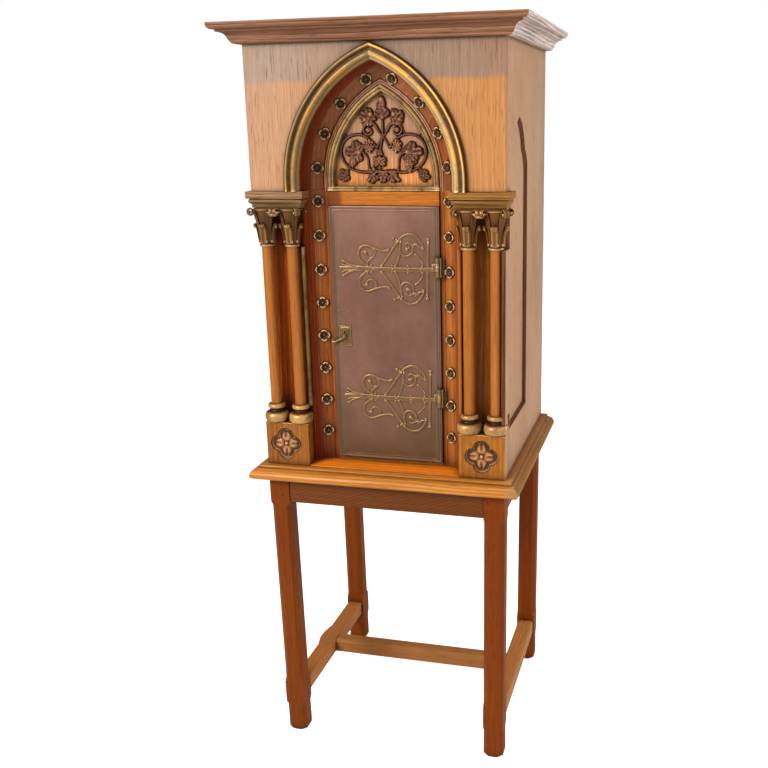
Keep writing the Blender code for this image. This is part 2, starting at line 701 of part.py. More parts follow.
def twin_column(side_name, side):
    """Twin base, two shafts and twin capital, cleared where the jamb passes behind."""
    clearance = tool("jamb_clear_" + side_name, side_block(side, *JAMB_CLEAR))
    base = twin_turning(side, "base_twin_" + side_name, "base2_" + side_name,
                        BASE, SHAFT_SEGMENTS, gilt("base"))
    fuse(base, "base_foot_" + side_name, side_block(side, *BASE_FOOT))
    boolean(base, clearance, "DIFFERENCE")
    shaft = [(SHAFT_R, SHAFT_FOOT), (SHAFT_R, CAPITAL_UNDER - GAP)]
    for place, x in zip(("inner", "outer"), COLUMN_X):
        finish(f"shaft_{side_name}_{place}", lathe(shaft, side * x, COLUMN_Y, SHAFT_SEGMENTS),
               oak("shaft", 1.1), smooth=True)
    capital = twin_turning(side, "capital_twin_" + side_name, "cap2_" + side_name,
                           CAPITAL, CAPITAL_SEGMENTS, gilt("capital"))
    fuse(capital, "abacus_" + side_name, side_block(side, *ABACUS))
    boolean(capital, clearance, "DIFFERENCE")


def impost(side_name, side):
    step_x, step_y = IMPOST_STEP
    rings = []
    for z, inset in IMPOST_LEVELS:
        x0, x1, y0 = IMPOST_X0 + inset, IMPOST_X1 - inset, IMPOST_Y0 + inset
        outline = [(x0, y0), (x1, y0), (x1, IMPOST_REAR), (step_x, IMPOST_REAR),
                   (step_x, step_y), (x0, step_y)]
        rings.append([(side * x, y, z) for x, y in outline])
    finish("impost_" + side_name, loft(rings), oak("impost", 1.05))


for side_name, side in SIDES:
    corner_board(side_name, side)
    pedestal(side_name, side)
    twin_column(side_name, side)
    impost(side_name, side)

# ================================================================ inner frame and tympanum
FRAME_INNER, FRAME_OUTER = LIP_HALF + GAP, FACE_INNER[0] - GAP
FRAME_FRONT = 0.0645
TYMPANUM_FOOT = 1.3640
STILE_INNER, STILE_STEP_Y, STILE_REAR = 0.1220, 0.0780, 0.0900
STRIKE_POCKET = (-0.1400, -0.1285, 0.0683, 0.0747, 1.0390, 1.0570)  # x0, x1, y0, y1, z0, z1
RAIL_FRONT, RAIL_REAR = 0.0600, 0.0900
RAIL_Z0, RAIL_Z1 = 1.3330, 1.3636
PANEL_REAR = 0.0900

# (half span, foot z, depth) of the loops around the tympanum, from the outer rear edge
BEAD = [(LIP_HALF, TYMPANUM_FOOT, BOARD_REAR), (LIP_HALF, TYMPANUM_FOOT, 0.0640),
        (0.1262, 1.3668, 0.0605), (0.1184, 1.3728, 0.0605),
        (0.1154, 1.3752, 0.0640), (0.1154, 1.3752, BOARD_REAR)]

VINE_Z = 1.4560                     # centre of the vine relief
VINE_STEPS = 48
VINE_UPPER_R = 0.108
VINE_LOWER_HALF, VINE_LOWER_DROP = 0.1060, 0.072    # half axes of the lower part
VINE_MIN_Z = 1.3800
VINE_ARCH_HALF, VINE_MARGIN = 0.1125, 0.0035    # arch line it keeps inside, and by how much
VINE_LOBES, VINE_LOBE_DEPTH = 12, 0.06          # lobe depth as a share of the radius
VINE_RINGS = [(BOARD_REAR, 1.0), (0.0690, 1.0), (0.0650, 0.92)]     # (depth, scale)


def frame_stile(side_name, side):
    """Stile with the rebate that the door closes against."""
    outline = [(FRAME_INNER, FRAME_FRONT), (FRAME_OUTER, FRAME_FRONT),
               (FRAME_OUTER, STILE_REAR), (STILE_INNER, STILE_REAR),
               (STILE_INNER, STILE_STEP_Y), (FRAME_INNER, STILE_STEP_Y)]
    stile = finish("frame_stile_" + side_name,
                   prism_z(mirrored(outline, side), CASE_Z0, TYMPANUM_FOOT - GAP), oak("stile"))
    if side < 0:
        cut(stile, "strike_pocket", block(*STRIKE_POCKET))


def transom_rail():
    outline = [(-LIP_HALF, RAIL_FRONT), (LIP_HALF, RAIL_FRONT), (LIP_HALF, LIP_REAR),
               (TONGUE_HALF, LIP_REAR), (TONGUE_HALF, RAIL_REAR), (-TONGUE_HALF, RAIL_REAR),
               (-TONGUE_HALF, LIP_REAR), (-LIP_HALF, LIP_REAR)]
    finish("transom_rail", prism_z(outline, RAIL_Z0, RAIL_Z1), oak("rail"))


def frame_arch():
    section = [(FRAME_INNER, FRAME_FRONT), (FRAME_OUTER, FRAME_FRONT),
               (FRAME_OUTER, BOARD_REAR), (FRAME_INNER, BOARD_REAR)]
    finish("frame_arch", arch_band(section, TYMPANUM_FOOT), oak("frame_arch"))


def tympanum():
    """Panel that closes the arch, and the gilt bead around it."""
    rings = [[(x, y, z) for x, z in arch_line(half, foot)] for half, foot, y in BEAD]
    finish("tympanum_bead", loft(rings, closed=True), gilt("bead"))
    finish("tympanum_panel", block(-INNER_HALF, INNER_HALF, BOARD_REAR + GAP, PANEL_REAR,
                                   TYMPANUM_FOOT, CASE_Z1), oak("tympanum", 0.7))


def vine_relief():
    """Lobed plate in front of the panel, held inside the arch."""
    limit_r = arch_radius(VINE_ARCH_HALF)
    outline = []                    # (x, z from the centre)
    for i in range(VINE_STEPS):
        a = 2 * math.pi * i / VINE_STEPS
        upper = math.sin(a) > 0
        x = (VINE_UPPER_R if upper else VINE_LOWER_HALF) * math.cos(a)
        z = VINE_Z + (VINE_UPPER_R if upper else VINE_LOWER_DROP) * math.sin(a)
        z = max(z, VINE_MIN_Z)
        rise = max(z, ARCH_CENTRE_Z) - ARCH_CENTRE_Z
        half = math.sqrt(limit_r ** 2 - rise ** 2) - ARCH_CENTRE_X
        x = math.copysign(min(abs(x), half - VINE_MARGIN), x)
        lobe = 1 - VINE_LOBE_DEPTH * (0.5 + 0.5 * math.cos(VINE_LOBES * a))
        outline.append((x * lobe, (z - VINE_Z) * lobe))
    rings = [[(x * scale, y, VINE_Z + z * scale) for x, z in outline] for y, scale in VINE_RINGS]
    finish("vine_relief", loft(rings), carving())


for side_name, side in SIDES:
    frame_stile(side_name, side)
transom_rail()
frame_arch()
tympanum()
vine_relief()

# ================================================================ the door
DOOR_HALF = 0.1286
DOOR_Z0, DOOR_Z1 = 0.7373, 1.3322
FACING_FRONT, FACING_REAR = 0.0574, 0.0591      # metal facing on the door board
DOOR_REAR = 0.0774

# Hinges: heights are relative to the strap, or to the knuckle where noted
HINGE_X, HINGE_Y = 0.1250, 0.0500
HINGES = (("upper", 1.1925), ("lower", 0.8907))
DOOR_ORIGIN = (HINGE_X, HINGE_Y, (DOOR_Z0 + DOOR_Z1) / 2)
STRAP_Y0, STRAP_Y1 = 0.0544, 0.0571
# (x, height)
STRAP_BAR = [
    (-0.1080, 0.0), (-0.1030, 0.0050), (-0.0980, 0.0030), (-0.0900, 0.0032),
    (0.1190, 0.0042), (0.1240, 0.0042), (0.1240, -0.0024), (0.1180, -0.0024),
    (0.1140, -0.0042), (-0.0900, -0.0032), (-0.0980, -0.0030), (-0.1030, -0.0050)]
STRAP_CROSS = [(0.0975, -0.066), (0.1025, -0.066), (0.1035, 0.066), (0.0985, 0.066)]
SCROLL = [(0.0960, 0.0005), (0.0300, 0.0120), (0.0290, 0.0330), (0.0340, 0.0640),
          (0.0590, 0.0790), (0.0850, 0.0640), (0.0950, 0.0470)]
CURL = [(-0.0080, 0.0010), (-0.0300, 0.0380), (-0.0460, 0.0520), (-0.0600, 0.0330),
        (-0.0450, 0.0260)]
# (name, centre line, width, inset from the strap's faces)
STRAP_BRANCHES = (("scroll", SCROLL, 0.0052, 0.0002), ("curl", CURL, 0.0050, 0.0003))
CROSS_INSET = 0.0001

KNUCKLE_R = 0.0050
KNUCKLE_RISE = 0.0060               # knuckle centre above the strap
KNUCKLE_HALF = 0.0090               # half height of the door's knuckle
KNUCKLE_SPACE = 0.0004              # between the door's knuckle and the leaf's
KNUCKLE_SEGMENTS, PIN_SEGMENTS = 16, 12
LEAF_HALF = 0.0215
LEAF_PLATE = (0.1313, 0.1335, 0.0490, 0.0642)   # x0, x1, y0, y1
LEAF_FOOT = (0.1330, 0.1385, 0.0622, 0.0641)
LEAF_TAB = (0.1255, 0.1320, 0.0492, 0.0512)     # joins the plate to an outer knuckle
LEAF_FOOT_INSET, LEAF_TAB_INSET = 0.0002, 0.0001
PIN_R = 0.0020
PIN_HALF = 0.0218
# (radius, distance beyond the pin's shank) of the head at either end
PIN_HEAD = [(PIN_R, 0.0), (0.0034, 0.0010), (0.0034, 0.0030), (0.0016, 0.0046)]
STRAP_BORE_HALF = 0.03
LEAF_BORE_OVERCUT = 0.01

# Lock: case, bolt and the lever's spindle
LOCK_X0, LOCK_X1 = -0.1270, -0.0760
LOCK_Y0, LOCK_Y1 = 0.0670, 0.0771
LOCK_Z0, LOCK_Z1 = 1.0150, 1.0650
LOCK_POCKET_X0, LOCK_POCKET_Y1 = -0.1300, 0.0790
ESCUTCHEON = (-0.1150, -0.0850, 0.0553, 0.0571, 1.0100, 1.0582)     # x0, x1, y0, y1, z0, z1
KEYHOLE_Z, KEYHOLE_R, KEYHOLE_SEGMENTS = 1.0440, 0.0021, 10
BOLT_X0, BOLT_X1 = -0.1268, -0.0945
BOLT_Y0, BOLT_Y1 = 0.0690, 0.0740
BOLT_Z0, BOLT_Z1 = 1.0400, 1.0560
BOLT_ORIGIN = (-0.1100, (BOLT_Y0 + BOLT_Y1) / 2, (BOLT_Z0 + BOLT_Z1) / 2)
BOLT_BEVEL = 0.0006
CHANNEL_X0, CHANNEL_X1 = -0.1290, -0.0850
LEVER_X, LEVER_Z = -0.1004, 1.0345
LEVER_ORIGIN = (LEVER_X, 0.0500, LEVER_Z)
SPINDLE_R, SPINDLE_Y = 0.0042, (0.0470, 0.0766)
DOOR_HOLE_R, CASE_HOLE_R = 0.0047, 0.0045
DOOR_HOLE_Y, ESCUTCHEON_HOLE_Y, CASE_HOLE_Y = (0.0500, 0.0700), (0.0500, 0.0600), (0.0600, 0.0800)
# (x and z from the spindle, width)
LEVER_ARM = [(0.0, 0.0, 0.0075), (-0.0120, -0.0085, 0.0052), (-0.0220, -0.0140, 0.0046),
             (-0.0330, -0.0155, 0.0040)]
LEVER_ARM_Y = (0.0472, 0.0520)


def spindle_hole(piece, name, radius, depths):
    cut(piece, "spindle_" + name, rod_y(LEVER_X, LEVER_Z, radius, *depths))


def door_board():
    half = DOOR_HALF - GAP
    board = finish("door_board", block(-half, half, FACING_REAR + GAP, DOOR_REAR,
                                       DOOR_Z0, DOOR_Z1), oak("door", 0.8), DOOR_ORIGIN)
    cut(board, "lock_pocket", block(LOCK_POCKET_X0, LOCK_X1 + GAP, LOCK_Y0 - GAP,
                                    LOCK_POCKET_Y1, LOCK_Z0 - GAP, LOCK_Z1 + GAP))
    spindle_hole(board, "board", DOOR_HOLE_R, DOOR_HOLE_Y)


def door_facing():
    facing = finish("door_facing", block(-DOOR_HALF, DOOR_HALF, FACING_FRONT, FACING_REAR,
                                         DOOR_Z0, DOOR_Z1), brass("facing", 0.75), DOOR_ORIGIN)
    spindle_hole(facing, "facing", DOOR_HOLE_R, DOOR_HOLE_Y)


def flat_bar(points, widths):
    """Outline of a bar of varying width along a run of (x, z) points."""
    left, right = [], []
    last = len(points) - 1
    for i, ((x, z), width) in enumerate(zip(points, widths)):
        before, after = points[max(i - 1, 0)], points[min(i + 1, last)]
        dx, dz = after[0] - before[0], after[1] - before[1]
        length = math.hypot(dx, dz)
        nx, nz = -dz / length, dx / length
        half = width / 2
        left.append((x + nx * half, z + nz * half))
        right.append((x - nx * half, z - nz * half))
    return left + right[::-1]


def hinge_lathe(profile, segments):
    return lathe(profile, HINGE_X, HINGE_Y, segments)


def knuckle(z0, z1):
    return hinge_lathe([(KNUCKLE_R, z0), (KNUCKLE_R, z1)], KNUCKLE_SEGMENTS)


def pin_bore(z0, z1):
    return hinge_lathe([(PIN_R + GAP, z0), (PIN_R + GAP, z1)], PIN_SEGMENTS)


def strap_hinge(name, strap_z):
    """Strap with its scrolls, and the knuckle that turns on the pin."""
    def raised(points, flip=1):
        return [(x, strap_z + flip * z) for x, z in points]

    strap = finish(name, prism_y(raised(STRAP_BAR), STRAP_Y0, STRAP_Y1), brass("hinge"),
                   (HINGE_X, HINGE_Y, strap_z))
    fuse(strap, name + "_cross",
         prism_y(raised(STRAP_CROSS), STRAP_Y0 + CROSS_INSET, STRAP_Y1 - CROSS_INSET))
    for suffix, flip in (("u", 1), ("l", -1)):
        for branch, run, width, inset in STRAP_BRANCHES:
            outline = flat_bar(raised(run, flip), [width] * len(run))
            fuse(strap, f"{name}_{branch}_{suffix}",
                 prism_y(outline, STRAP_Y0 + inset, STRAP_Y1 - inset))
    z = strap_z + KNUCKLE_RISE
    fuse(strap, name + "_knuckle", knuckle(z - KNUCKLE_HALF, z + KNUCKLE_HALF))
    cut(strap, name + "_bore", pin_bore(z - STRAP_BORE_HALF, z + STRAP_BORE_HALF))


def hinge_leaf(name, z):
    """Cranked leaf on the right stile with the two outer knuckles; z is the knuckle centre."""
    z0, z1 = z - LEAF_HALF, z + LEAF_HALF
    leaf = finish(name, block(*LEAF_PLATE, z0, z1), brass("hinge"))
    fuse(leaf, name + "_foot", block(*LEAF_FOOT, z0 + LEAF_FOOT_INSET, z1 - LEAF_FOOT_INSET))
    for suffix, low, high in (("lo", z0, z - KNUCKLE_HALF - KNUCKLE_SPACE),
                              ("hi", z + KNUCKLE_HALF + KNUCKLE_SPACE, z1)):
        fuse(leaf, f"{name}_plate_{suffix}",
             block(*LEAF_TAB, low + LEAF_TAB_INSET, high - LEAF_TAB_INSET))
        fuse(leaf, f"{name}_kn_{suffix}", knuckle(low, high))
    cut(leaf, name + "_bore", pin_bore(z0 - LEAF_BORE_OVERCUT, z1 + LEAF_BORE_OVERCUT))


def hinge_pin(name, z):
    profile = [(radius, z - PIN_HALF - beyond) for radius, beyond in reversed(PIN_HEAD)]
    profile += [(radius, z + PIN_HALF + beyond) for radius, beyond in PIN_HEAD]
    finish(name, hinge_lathe(profile, PIN_SEGMENTS), brass("pin"), smooth=True)


def escutcheon():
    plate = finish("escutcheon", block(*ESCUTCHEON), brass("escutcheon"), DOOR_ORIGIN)
    cut(plate, "keyhole",
        rod_y(LEVER_X, KEYHOLE_Z, KEYHOLE_R, *ESCUTCHEON_HOLE_Y, KEYHOLE_SEGMENTS))
    spindle_hole(plate, "esc", DOOR_HOLE_R, ESCUTCHEON_HOLE_Y)


def lock_case():
    case = finish("lock_case", block(LOCK_X0, LOCK_X1, LOCK_Y0, LOCK_Y1, LOCK_Z0, LOCK_Z1),
                  brass("lock_case", 0.6), DOOR_ORIGIN)
    cut(case, "bolt_channel", block(CHANNEL_X0, CHANNEL_X1, BOLT_Y0 - GAP, BOLT_Y1 + GAP,
                                    BOLT_Z0 - GAP, BOLT_Z1 + GAP))
    spindle_hole(case, "case", CASE_HOLE_R, CASE_HOLE_Y)


def lock_bolt():
    bolt = finish("lock_bolt", block(BOLT_X0, BOLT_X1, BOLT_Y0, BOLT_Y1, BOLT_Z0, BOLT_Z1),
                  brass("bolt", 0.9), BOLT_ORIGIN)
    bevel(bolt, BOLT_BEVEL)


def lock_lever():
    """Spindle through the door with the lever arm in front."""
    lever = finish("lock_lever", rod_y(LEVER_X, LEVER_Z, SPINDLE_R, *SPINDLE_Y),
                   brass("lever"), LEVER_ORIGIN)
    arm = flat_bar([(LEVER_X + x, LEVER_Z + z) for x, z, _ in LEVER_ARM],
                   [width for _, _, width in LEVER_ARM])
    fuse(lever, "lever_arm", prism_y(arm, *LEVER_ARM_Y))


door_board()
door_facing()
for hinge_name, strap_z in HINGES:
    strap_hinge("strap_hinge_" + hinge_name, strap_z)
    hinge_leaf("hinge_leaf_" + hinge_name, strap_z + KNUCKLE_RISE)
    hinge_pin("hinge_pin_" + hinge_name, strap_z + KNUCKLE_RISE)
escutcheon()
lock_case()
lock_bolt()
lock_lever()
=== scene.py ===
"""An oak cabinet with an arched, carved front, standing on its own legged stand.

Metres. X runs left to right and is 0 on the centre line, Z is up and the floor is at 0.
The front faces -Y. Depths in the tables are measured back from the cabinet's front plane.
Each piece is the CAD node of the same name with "_v" added, except the extra details.
"""
import json
import math
from collections import namedtuple

import bmesh
import bpy
import numpy as np
from mathutils import Matrix, Vector

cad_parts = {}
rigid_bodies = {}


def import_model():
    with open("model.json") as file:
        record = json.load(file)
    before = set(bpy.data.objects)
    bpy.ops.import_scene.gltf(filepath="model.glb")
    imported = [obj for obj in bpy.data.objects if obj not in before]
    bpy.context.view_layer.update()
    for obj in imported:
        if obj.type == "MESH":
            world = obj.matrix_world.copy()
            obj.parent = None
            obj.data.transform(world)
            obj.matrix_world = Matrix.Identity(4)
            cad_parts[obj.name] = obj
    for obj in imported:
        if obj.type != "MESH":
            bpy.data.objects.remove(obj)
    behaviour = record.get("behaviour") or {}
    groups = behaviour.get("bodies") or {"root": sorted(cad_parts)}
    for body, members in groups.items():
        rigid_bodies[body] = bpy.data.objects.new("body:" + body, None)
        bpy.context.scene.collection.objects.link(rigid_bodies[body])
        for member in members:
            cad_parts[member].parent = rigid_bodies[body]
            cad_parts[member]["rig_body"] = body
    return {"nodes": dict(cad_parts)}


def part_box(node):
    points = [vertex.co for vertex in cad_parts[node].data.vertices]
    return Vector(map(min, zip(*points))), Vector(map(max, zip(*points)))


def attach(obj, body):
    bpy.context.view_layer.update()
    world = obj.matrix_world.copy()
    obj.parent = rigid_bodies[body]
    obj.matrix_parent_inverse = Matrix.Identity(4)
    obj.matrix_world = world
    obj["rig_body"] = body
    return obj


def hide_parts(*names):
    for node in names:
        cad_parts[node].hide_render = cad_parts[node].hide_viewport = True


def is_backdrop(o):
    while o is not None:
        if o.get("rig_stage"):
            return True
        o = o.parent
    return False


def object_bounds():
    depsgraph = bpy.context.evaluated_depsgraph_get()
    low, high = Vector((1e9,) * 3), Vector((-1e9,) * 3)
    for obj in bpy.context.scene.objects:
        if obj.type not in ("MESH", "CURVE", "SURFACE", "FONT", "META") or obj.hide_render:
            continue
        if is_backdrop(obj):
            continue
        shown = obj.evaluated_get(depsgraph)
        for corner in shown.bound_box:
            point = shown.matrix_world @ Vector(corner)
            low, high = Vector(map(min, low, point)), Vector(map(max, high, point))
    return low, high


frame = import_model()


def write_bounds():
    """Work out the current bounds as lists, whether they come as a dict or as a pair of corners;
    they are not kept.
    """
    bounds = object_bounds()
    if isinstance(bounds, dict):
        bounds = {k: [float(c) for c in v] for k, v in bounds.items()}
    else:
        bounds = [[float(c) for c in v] for v in bounds]


write_bounds()

NODES = frame["nodes"]
BODY = {name: ob["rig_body"] for name, ob in NODES.items()}

# ------------------------------------------------------------------ main sizes
FRONT = -.2406                    # Y of the cabinet's front plane
HALF_WIDTH, DEPTH = .2878, .537   # of the case
COLUMN_X, COLUMN_Y = (.2033, .2644), .0172
SHAFT_RADIUS, SHAFT_FOOT, SHAFT_HEAD = .0125, .8696, 1.2438
# The pointed arch: each arc is centred on the springing line, ARCH_OFFSET past the middle
ARCH_OFFSET, ARCH_SPRING = .10114, 1.3855
BOARD_FOOT = .7278                # foot of the jamb boards and pedestals
SIDES = ((-1, "left"), (1, "right"))


# ------------------------------------------------------------------ shader helpers
def linear(colour):
    """Linear RGBA of an sRGB colour given as 0 to 255."""
    def channel(c):
        c /= 255.0
        return c / 12.92 if c <= .04045 else ((c + .055) / 1.055) ** 2.4
    return (*(channel(c) for c in colour), 1.0)


def scaled(colour, *factors):
    """A 0 to 255 colour times one factor, or one factor per channel."""
    if len(factors) == 1:
        factors *= 3
    return tuple(min(255, c * f) for c, f in zip(colour, factors))


FINISH = {}     # materials by name


class Tree:
    """Short names for setting up the nodes of one material."""

    def __init__(self, name):
        self.name = name
        self.mat = bpy.data.materials.new(name)
        self.mat.use_nodes = True
        self.nt = self.mat.node_tree
        self.nt.nodes.clear()
        self.object_coords = self.separated = None

    def node(self, kind, **settings):
        n = self.nt.nodes.new(kind)
        for key, value in settings.items():
            setattr(n, key, value)
        return n

    def feed(self, socket, value):
        if hasattr(value, "links"):
            self.nt.links.new(value, socket)
        else:
            socket.default_value = value

    def math(self, operation, *values, clamp=False):
        n = self.node("ShaderNodeMath", operation=operation, use_clamp=clamp)
        for socket, value in zip(n.inputs, values):
            self.feed(socket, value)
        return n.outputs[0]

    def times(self, a, b):
        return self.math("MULTIPLY", a, b)

    def times_add(self, a, factor, addend):
        return self.math("MULTIPLY_ADD", a, factor, addend)

    def centred(self, value):
        return self.math("SUBTRACT", value, .5)

    def vec(self, operation, *values):
        n = self.node("ShaderNodeVectorMath", operation=operation)
        for socket, value in zip(n.inputs, values):
            self.feed(socket, value)
        return n.outputs[1] if operation in ("LENGTH", "DOT_PRODUCT") else n.outputs[0]

    def raw_noise(self, place, scale, detail, roughness, output="Fac"):
        n = self.node("ShaderNodeTexNoise")
        self.feed(n.inputs["Vector"], place)
        n.inputs["Scale"].default_value = scale
        n.inputs["Detail"].default_value = detail
        n.inputs["Roughness"].default_value = roughness
        return n.outputs[output]

    def noise(self, place, frequency, detail, roughness, output="Fac"):
        """Noise with its own frequency along each axis."""
        return self.raw_noise(self.vec("MULTIPLY", place, frequency), 1.0, detail, roughness,
                              output)

    def ramp(self, value, stops):
        n = self.node("ShaderNodeValToRGB")
        n.color_ramp.interpolation = "EASE"
        elements = n.color_ramp.elements
        while len(elements) < len(stops):
            elements.new(.5)
        for element, (position, colour) in zip(elements, stops):
            element.position = position
            element.color = linear(colour)
        self.feed(n.inputs[0], value)
        return n.outputs[0]

    def step(self, value, start, end, low=0.0, high=1.0):
        """Smooth change from low to high as value goes from start to end."""
        n = self.node("ShaderNodeMapRange", interpolation_type="SMOOTHSTEP")
        self.feed(n.inputs[0], value)
        for socket, setting in zip(n.inputs[1:5], (start, end, low, high)):
            socket.default_value = setting
        return n.outputs[0]

    def mix(self, factor, a, b):
        """Mix of two colours, each a socket or a 0 to 255 colour."""
        n = self.node("ShaderNodeMix", data_type="RGBA", blend_type="MIX")
        self.feed(n.inputs[0], factor)
        for socket, colour in ((n.inputs[6], a), (n.inputs[7], b)):
            self.feed(socket, linear(colour) if isinstance(colour, tuple) else colour)
        return n.outputs[2]

    def along(self, axis):
        """One object coordinate."""
        if self.separated is None:
            self.separated = self.node("ShaderNodeSeparateXYZ")
            self.feed(self.separated.inputs[0], self.object_coords)
        return self.separated.outputs["XYZ".index(axis)]

    def coords(self, axis="Z"):
        """Object coordinates turned so that axis becomes Z, shifted by the object's seed."""
        self.object_coords = self.node("ShaderNodeTexCoord").outputs["Object"]
        seed = self.node("ShaderNodeAttribute", attribute_type="OBJECT", attribute_name="seed")
        base = self.object_coords
        if axis != "Z":
            turned = self.node("ShaderNodeCombineXYZ")
            for socket, source in zip(turned.inputs, {"X": "YZX", "Y": "ZXY"}[axis]):
                self.feed(socket, self.along(source))
            base = turned.outputs[0]
        shift = self.node("ShaderNodeCombineXYZ")
        for socket, factor in zip(shift.inputs, (1.37, 2.11, .83)):
            self.feed(socket, self.times(seed.outputs["Fac"], factor))
        return self.vec("ADD", base, shift.outputs[0])

    def bump(self, height, distance, strength):
        n = self.node("ShaderNodeBump")
        n.inputs["Strength"].default_value = strength
        n.inputs["Distance"].default_value = distance
        self.feed(n.inputs["Height"], height)
        return n.outputs[0]

    def openness(self, distance, samples=5):
        """1 in the open, falling in crevices."""
        n = self.node("ShaderNodeAmbientOcclusion", samples=samples)
        n.inputs["Distance"].default_value = distance
        return n.outputs["AO"]

    def edges(self, radius):
        """1 on sharp edges, 0 on flat faces."""
        bevel = self.node("ShaderNodeBevel", samples=4)
        bevel.inputs["Radius"].default_value = radius
        normal = self.node("ShaderNodeNewGeometry").outputs["Normal"]
        return self.step(self.vec("DOT_PRODUCT", bevel.outputs[0], normal), .995, .80)

    def pointiness(self):
        return self.node("ShaderNodeNewGeometry").outputs["Pointiness"]

    def mask(self):
        """The carving height stored on the mesh."""
        return self.node("ShaderNodeAttribute", attribute_name="mask").outputs["Fac"]

    def surface(self, gain=None, **inputs):
        """Finish the material; gain is the last colour balance, per channel."""
        shader = self.node("ShaderNodeBsdfPrincipled")
        if gain:
            inputs["Base_Color"] = self.vec("MULTIPLY", inputs["Base_Color"], gain)
        for key, value in inputs.items():
            self.feed(shader.inputs[key.replace("_", " ")], value)
        output = self.node("ShaderNodeOutputMaterial")
        self.feed(output.inputs[0], shader.outputs[0])
        FINISH[self.name] = self.mat
        return self.mat


# A colour change along one object axis, running from start to end
Fade = namedtuple("Fade", "axis start end colour amount")


# ------------------------------------------------------------------ kinds of finish
def warped(t, place):
    """Coordinates bent a little so that the grain wanders."""
    warp = t.noise(place, (3.2, 3.2, 1.1), detail=2, roughness=.5, output="Color")
    offset = t.vec("MULTIPLY", t.vec("SUBTRACT", warp, (.5, .5, .5)), (.035, .035, .05))
    return t.vec("ADD", place, offset)


def fibres(t, place):
    return t.noise(place, (330, 330, 7.5), detail=3, roughness=.62)


def growth_rings(t, place, scale, stretch):
    """Rings round an off-centre heart; stretch is how fast they change along the grain."""
    place = t.vec("ADD", t.vec("MULTIPLY", place, (1, 1, stretch)), (.19, .33, 0))
    wave = t.node("ShaderNodeTexWave", wave_type="RINGS", rings_direction="Z",
                  wave_profile="SAW")
    for key, value in (("Scale", scale), ("Distortion", 2.2), ("Detail", 2.0),
                       ("Detail Scale", .35), ("Vector", place)):
        t.feed(wave.inputs[key], value)
    return wave.outputs["Fac"]


def oak(name, axis, palette, ring, coat, gain=None, specular=.24, ring_weight=.34,
        fibre_weight=.55, roughness=(.36, .58), crevice_shade=(38, 16, 6), crevice_shade_amount=.75,
        edge_wear_and_highlight=(205, 150, 95), edge_wear_and_highlight_amount=.4, crevice=.032, contrast=1.0, stretch=.09,
        stripe=None, fades=()):
    """Oak with its grain along axis. palette is dark, mid and light; ring is the ring scale.

    The crevice colour is painted shade in the crevices; the edge colour lightens the sharp edges,
    which are partly worn and partly a painted highlight.
    """
    dark, mid, light = palette
    t = Tree(name)
    place = t.coords(axis)
    bent = warped(t, place)
    rings = growth_rings(t, bent, ring, stretch)
    fibre = fibres(t, bent)
    fine = t.noise(bent, (950, 950, 20), detail=2, roughness=.5)
    pore = t.step(t.noise(bent, (620, 620, 26), detail=1, roughness=.4), .60, .70)
    pore = t.times(pore, t.step(rings, .05, .75, low=.35, high=1.0))
    blotch = t.noise(place, (6, 6, 2.2), detail=3, roughness=.55)

    # the figure: a weighted sum centred on the middle of the palette
    value = t.times(rings, ring_weight)
    for part, weight in ((fibre, fibre_weight), (fine, .18), (blotch, .42)):
        value = t.times_add(part, weight, value)
    mean = ring_weight * .5 + fibre_weight * .5 + .09 + .21
    value = t.times_add(t.math("SUBTRACT", value, mean), 1.15 * contrast, .5)
    colour = t.ramp(value, [(.20, dark), (.47, mid), (.80, light)])

    if stripe:
        across = t.vec("DOT_PRODUCT", place, stripe["direction"])
        wander = t.noise(place, (9, 9, 9), detail=2, roughness=.5)
        phase = t.times_add(wander, 7.0, t.times(across, stripe["frequency"]))
        bars = t.step(t.math("SINE", phase), .0, .9)
        colour = t.mix(t.times(bars, stripe["amount"]), colour, stripe["colour"])
    for fade in fades:
        ragged = t.centred(t.noise(place, (25, 25, 3), detail=2, roughness=.5))
        along = t.times_add(ragged, (fade.end - fade.start) * .55, t.along(fade.axis))
        faded = t.mix(fibre, scaled(fade.colour, .74), scaled(fade.colour, 1.18))
        colour = t.mix(t.times(t.step(along, fade.start, fade.end), fade.amount), colour, faded)

    # broad warm patches, then dark pores
    hue = t.noise(place, (2.1, 2.1, .8), detail=1, roughness=.5)
    colour = t.mix(t.step(hue, .35, .7, high=.28), colour, scaled(mid, 1.10, .94, .78))
    colour = t.mix(t.times(pore, .5), colour, scaled(dark, .5))

    # lighter sharp edges, partly worn and partly a painted highlight, then painted shade in the
    # crevices
    broken = t.step(t.noise(place, (60, 60, 14), detail=3, roughness=.6), .38, .66)
    edges_worn_and_lit = t.times(t.edges(.0022), broken)
    opened = t.openness(crevice)
    colour = t.mix(t.times(edges_worn_and_lit, t.times(opened, edge_wear_and_highlight_amount)), colour, edge_wear_and_highlight)
    colour = t.mix(t.times(t.step(opened, .92, .30), crevice_shade_amount), colour, crevice_shade)

    smooth, rough = roughness
    surface_roughness = t.times_add(fibre, rough - smooth, smooth)
    surface_roughness = t.times_add(t.step(hue, .3, .7), .10, surface_roughness)
    height = t.times_add(pore, -.9, t.times_add(rings, .25, t.times(fibre, .7)))
    return t.surface(gain, Base_Color=colour, Roughness=surface_roughness,
                     Specular_IOR_Level=specular, Specular_Tint=(1, .86, .70, 1),
                     Coat_Weight=coat * .5, Coat_Roughness=.28, Coat_Tint=(1, .9, .76, 1),
                     Normal=t.bump(height, distance=.00045, strength=.5))


